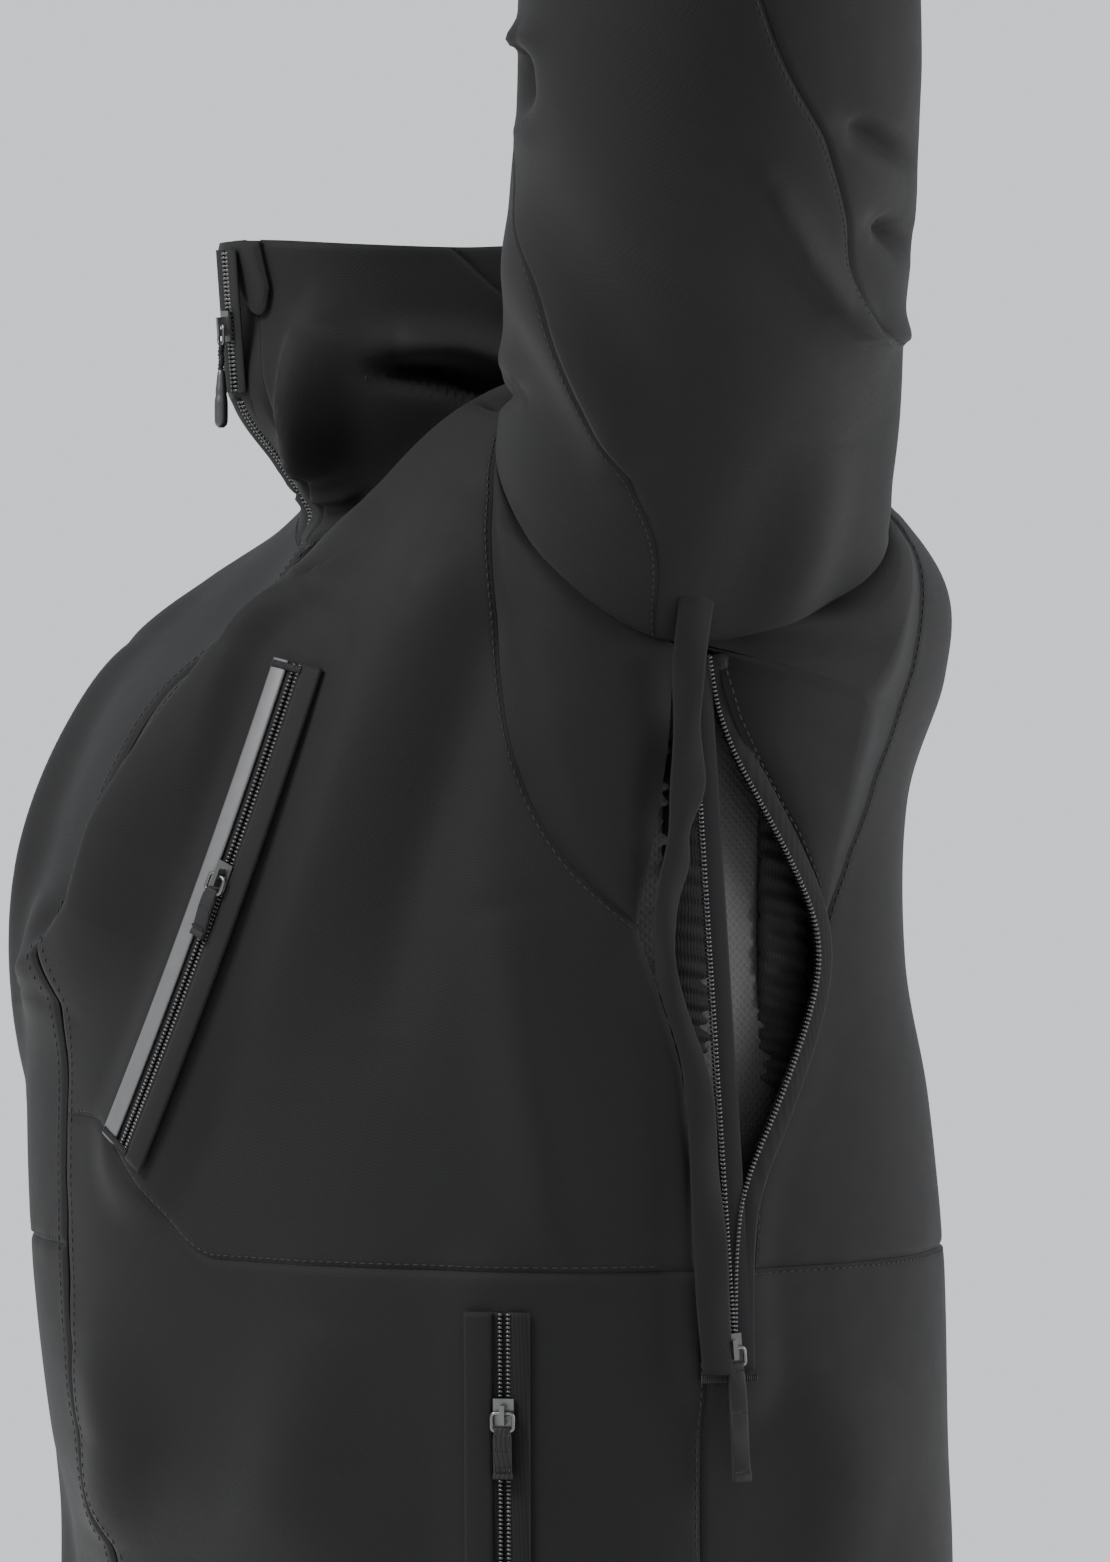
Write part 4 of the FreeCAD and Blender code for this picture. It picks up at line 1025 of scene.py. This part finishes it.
def tape_puller(name, origin, down, normal, length):
    """Wire loop with a folded tape through it, and two stitched bars across the tape."""
    across = unit(np.cross(normal, down))
    up = -down
    body = name + "_puller"
    tube(name + "_loop", local(origin, across, up, normal, ring_loop(9.0, 6.6, 0.7)), 0.8,
         MATERIALS["zip_metal"], body, closed=True)
    rows = []
    for y in np.linspace(0, 1, 26):
        wide = 3.9 * (1 - 0.12 * math.exp(-((y - 0.06) / 0.08) ** 2)) + 0.25 * smoothstep((y - 0.85) / 0.1)
        thick = 1.15 + 0.5 * smoothstep((y - 0.88) / 0.06) - 0.3 * math.exp(-((y - 0.42) / 0.03) ** 2)
        bend = 0.5 * math.sin(y * 5.0)
        ring = []
        for k in range(16):
            a = 2 * math.pi * k / 16
            x = math.copysign(abs(math.cos(a)) ** 0.35, math.cos(a)) * wide
            z = math.copysign(abs(math.sin(a)) ** 0.6, math.sin(a)) * thick
            ring.append((x, -5.2 - y * (length - 3.0), z + bend))
        rows.append(ring)
    grid = np.array(rows)
    points = local(origin, across, up, normal, grid.reshape(-1, 3))
    faces = []
    for i in range(25):
        for k in range(16):
            faces.append((i * 16 + k, i * 16 + (k + 1) % 16, (i + 1) * 16 + (k + 1) % 16, (i + 1) * 16 + k))
    faces.append(tuple(range(16))[::-1])
    faces.append(tuple(25 * 16 + k for k in range(16)))
    mesh = bpy.data.meshes.new(name + "_tape_pull")
    mesh.from_pydata((points * MM).tolist(), [], faces)
    finish_piece(name + "_tape_pull", mesh, MATERIALS["tape_pull"], body, [body])
    places = []
    for y in (-8.5, -5.2 - 0.42 * (length - 3.0), -2.6 - length + 4.2):
        for x in np.arange(-3.0, 3.1, 1.0):
            places.append((x, y, 1.35))
    centres = local(origin, across, up, normal, places)
    many = len(centres)
    boxes(name + "_bars", centres, np.repeat(up[None], many, 0), np.repeat(normal[None], many, 0),
          1.3, 0.8, 0.5,
          MATERIALS["thread"], body)


def cord_puller():
    """Main zip's pull: wire loop, short plaited cord and a moulded tip, hanging plumb."""
    share = (76.0 - 44.0) / (76.0 - 16.0)
    top, bend = np.array((0, -109.0, 76.0)), np.array((0, -104.5, 16.0))
    down = unit(bend - top)
    normal = unit(np.array((0, -1.0, 0)) - down * (down @ np.array((0, -1.0, 0))))
    origin = top + (bend - top) * share + normal * LUG_EYE
    across = unit(np.cross(normal, down))
    plumb, out, body = np.array((0, 0, 1.0)), np.array((0, -1.0, 0)), "main_zip_puller"
    tube("main_pull_loop", local(origin, across, plumb, out, ring_loop(5.6, 7.4, 0.6)), 0.7,
         MATERIALS["zip_metal"], body, closed=True)
    cord = [(0.35 * math.sin(y), -6.4 - y, 0) for y in np.linspace(0, 12.5, 40)]
    tube("main_pull_cord", local(origin, across, plumb, out, cord), 1.25, MATERIALS["tape_pull"],
         body, twist=4.2)
    y = np.linspace(0, 1, 24)
    radius = 1.7 + 1.2 * smoothstep(y * 1.6) - 0.25 * np.exp(-((y - 0.45) / 0.05) ** 2)
    radius = radius * np.sqrt(np.clip(1 - ((y - 0.5) / 0.5) ** 12, 0.15, 1))
    tip = [(0, -17.6 - 25.0 * k, 0) for k in y]
    tube("main_pull_tip", local(origin, across, plumb, out, tip), radius, MATERIALS["puller_cord"],
         body, sides=14, replaces=["main_zip_puller"])


def build_pockets():
    points, normals = PATHS["chest"]
    zip_row("chest_pocket_row_a", points, normals, 1, ["chest_pocket_chain"])
    zip_row("chest_pocket_row_b", points, normals, -1)
    ribbon("chest_pocket_welt", points, normals, -4.9, -13.5, 1.9, MATERIALS["welt_grey"],
           thickness=1.2, replaces=["chest_pocket_welt"])
    ribbon("chest_pocket_lip", points, normals, 5.0, 15.0, 1.5, MATERIALS["shell"], thickness=1.0)
    for word, k in (("top", 1), ("foot", 88)):
        along, across = frame_along(points, normals)
        centres = points[k] + across[k] * np.arange(-12.4, 4.0, 0.9)[:, None] + normals[k] * 2.2
        many = len(centres)
        boxes("chest_bar_tack_" + word, centres, np.repeat(along[k][None], many, 0),
              np.repeat(normals[k][None], many, 0), 3.2, 0.7, 0.6, MATERIALS["thread"])
    stitches("chest_pocket_stitch", BODY, curve([(43.5, 9.0), (40.5, 8.5), (35, 7.65), (30, 6.8), (25.5, 6.0),
                                                 (21, 5.4), (16, 4.95)]), 0.0)
    strip("chest_pocket_bag", 16, 50, 4.9, 8.4, -4.6, "lining")
    place = int(CHEST_SLIDER * 89)
    down = unit(points[place + 1] - points[place])
    stand = points[place] + (points[place + 1] - points[place]) * (CHEST_SLIDER * 89 - place)
    tape_puller("chest_pocket", stand + normals[place] * LUG_EYE, down, normals[place], 24.0)
    for side, hand in ((1, "left"), (-1, "right")):
        points, normals = PATHS["hand_" + hand]
        zip_row("hand_pocket_row_a_" + hand, points, normals, 1, ["hand_pocket_chain_" + hand])
        zip_row("hand_pocket_row_b_" + hand, points, normals, -1)
        flip = -side
        ribbon("hand_pocket_welt_" + hand, points, normals, flip * 4.8, flip * 16.5, 2.3, MATERIALS["shell"],
               thickness=1.3, replaces=["hand_pocket_welt_" + hand])
        strip("hand_pocket_bag_" + hand, side * 30, side * 68, 1.3, 3.7, -5.6, "lining")
        stitches("hand_pocket_stitch_" + hand, BODY, line((side * 66, 4.05), (side * 67.6, 0.4)), 0.0)
        down = unit(points[-1] - points[0])
        eye = points[0] + (points[-1] - points[0]) * HAND_SLIDER + normals[0] * LUG_EYE
        tape_puller("hand_pocket_" + hand, eye, down, normals[0], 24.0)


def build_vents():
    front, rear, right = PATHS["pit_front"], PATHS["pit_rear"], PATHS["pit_right"]
    zip_row("pit_front_row", *front, -1, ["pit_zip_front_left"])
    zip_row("pit_rear_row", *rear, -1, ["pit_zip_back_left"])
    for hand, word in ((1, "a"), (-1, "b")):
        zip_row("pit_right_row_" + word, *right, hand, ["pit_zip_right"] if hand == 1 else ())
    heights = np.linspace(-62, -384, 150)
    table = np.array(FLAP_EDGES)[::-1]
    low, high = (np.interp(heights, table[:, 0], table[:, k]) for k in (1, 2))
    low, high = (np.convolve(np.pad(v, 3, "edge"), np.ones(7) / 7, "valid") for v in (low, high))
    shares = np.linspace(0, 1, 12)[:, None]
    across = low + (high - low) * shares
    ripple = np.sin(heights * 0.11) * 1.5 + np.sin(heights * 0.053 + 1) * 1.4
    out = PIT_X + 3.0 + 1.4 * np.sin(math.pi * shares) + shares * (1.2 + ripple) * 0.9
    out = out + 12 * smoothstep((heights + 100) / 40)
    grid = np.stack([out, across, np.broadcast_to(heights, out.shape)], axis=-1)
    sheet("pit_flap_left", grid, 1.1, MATERIALS["shell"], replaces=["pit_flap_left"])
    strip("pit_mesh_left", 80, 116, 3.75, 7.9, -15, "mesh")
    for k, (a, b) in enumerate(((88.5, 94.5), (100.5, 108))):
        levels = np.linspace(4.5, 7.35, 200)
        angles = np.linspace(a, b, 9)
        aa, ll = np.meshgrid(angles, levels, indexing="ij")
        gather = np.sin(ll * 58 + aa * 0.8) * 0.9 + np.sin(ll * 23) * 0.7
        crown = 3.2 * np.sin(math.pi * (aa - a) / (b - a))
        points = BODY.skin(aa, ll) + BODY.normal(aa, ll) * (-12.5 + crown + gather)[..., None]
        sheet("pit_band_%d" % (k + 1), points, 0.9, MATERIALS["webbing"],
              replaces=["pit_bands_left"])
    stitches("pit_rear_stitch", BODY, curve(PIT_BACK[1]), -2.5)
    down = unit(PIT_FOOT - PIT_HEAD)
    x_out = np.array((1.0, 0, 0))
    eye = PIT_FOOT - down * 9.0 + x_out * LUG_EYE
    tape_puller("pit_zip_left", eye, down, x_out, 52.0)
    points, normals = right
    down = unit(points[0] - points[-1])
    tape_puller("pit_zip_right", points[0] - down * 9.0 + normals[0] * LUG_EYE, down, normals[0], 24.0)
    for word, z in (("top", -64.0), ("foot", -386.0)):
        y = np.arange(-9, 7, 0.9) if word == "top" else np.arange(5, 30, 0.9)
        x = PIT_X + (15.5 if word == "top" else 2.5)
        centres = np.stack([np.full(len(y), x), y, np.full(len(y), z)], axis=-1)
        many = len(centres)
        boxes("pit_bar_tack_" + word, centres, np.repeat([[0, 0, 1.0]], many, 0),
              np.repeat([[1.0, 0, 0]], many, 0),
              3.2, 0.7, 0.8, MATERIALS["thread"])


def dress_frame():
    """The CAD pieces that stay in view keep their shape and get finished materials."""
    for name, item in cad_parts.items():
        if name.endswith("_slider"):
            chosen = MATERIALS["zip_metal"]
        elif name == "hang_loop":
            chosen = MATERIALS["tape_pull"]
        else:
            continue
        for place in item.material_slots:
            place.material = chosen
        if not item.material_slots:
            item.data.materials.append(chosen)


# ---- folds ----
fold(67, [(-58, -68), (-87, -100), (-104, -123), (-135, -170), (-148, -201), (-166, -221), (-179, -236)],
     10, 17, 6)
fold(67, [(-170, -194), (-181, -237)], 4, 8)
fold(67, [(-67, 44), (-69, 13), (-66, -19)], 7, 13, 6)
fold(67, [(-34, 24), (-6, 22), (20, 15)], -9, 7, 4)
fold(67, [(-30, 36), (-4, 34), (20, 28)], 4, 8)
fold(67, [(-62, -23), (-41, -25)], 3, 4)
fold(67, [(4, 145), (22, 148), (23, 135), (21, 125)], -7, 4)
fold(67, [(0, 152), (10, 156), (26, 156)], 6, 7)
fold(67, [(2, 130), (14, 126), (22, 118)], 5, 7)
fold(67, [(120, 98), (137, 71), (151, 52), (163, 43), (178, 40), (197, 41)], 4, 8, 5)
fold(67, [(155, 121), (172, 113), (190, 106)], -5, 6)
fold(67, [(168, 82), (178, 77), (194, 77)], -5, 5)
fold(67, [(12, 96), (28, 66), (44, 40), (60, 10), (70, -20)], 4, 13)
fold(67, [(8, -20), (-14, -60), (-36, -105), (-54, -150), (-70, -200), (-90, -260)], 4, 20)
fold(67, [(22, -40), (10, -90), (-6, -140), (-22, -190), (-34, -250)], -3, 16)
fold(67, [(-40, -26), (-62, -64), (-84, -96)], 3.5, 12)
fold(67, [(15, -190), (24, -240), (34, -300), (40, -340)], 3, 16)
fold(67, [(150, 0), (140, -40), (128, -80), (118, -120)], 4, 14)
fold(67, [(178, -40), (166, -90), (152, -140), (150, -175)], 4, 14)
fold(67, [(-150, -380), (-140, -420), (-150, -470)], 4, 14)
fold(67, [(-60, -360), (-70, -420), (-90, -480)], 3, 22)
fold(67, [(150, -380), (158, -430), (150, -480)], 3, 20)
fold(215, [(-60, -60), (-80, -180), (-60, -300)], 5, 24)
fold(215, [(60, -100), (90, -220), (70, -380), (80, -600)], 5, 26)
fold(180, [(-20, -120), (-40, -260), (-10, -420), (-30, -640)], 4, 30)
fold(0, [(-120, -90), (-90, -180), (-110, -280)], 5, 20)
fold(0, [(-150, -420), (-140, -540), (-160, -700)], 5, 24)
fold(0, [(150, -420), (140, -560), (150, -700)], 4, 24)
fold(270, [(-10, -180), (10, -240), (-12, -300)], 5, 16)
fold(270, [(-60, -330), (-20, -350), (30, -345)], 5, 12)
fold(0, [(-390, -330), (-350, -352), (-300, -345)], 5, 11)
fold(0, [(-390, -380), (-345, -395), (-300, -380)], 4, 11)
fold(180, [(300, -340), (350, -365), (392, -350)], 5, 12)

build_camera_and_light()
build_stage()
build_body()
build_sleeves()
build_collar()
build_main_zip()
cord_puller()
build_pockets()
build_vents()
dress_frame()
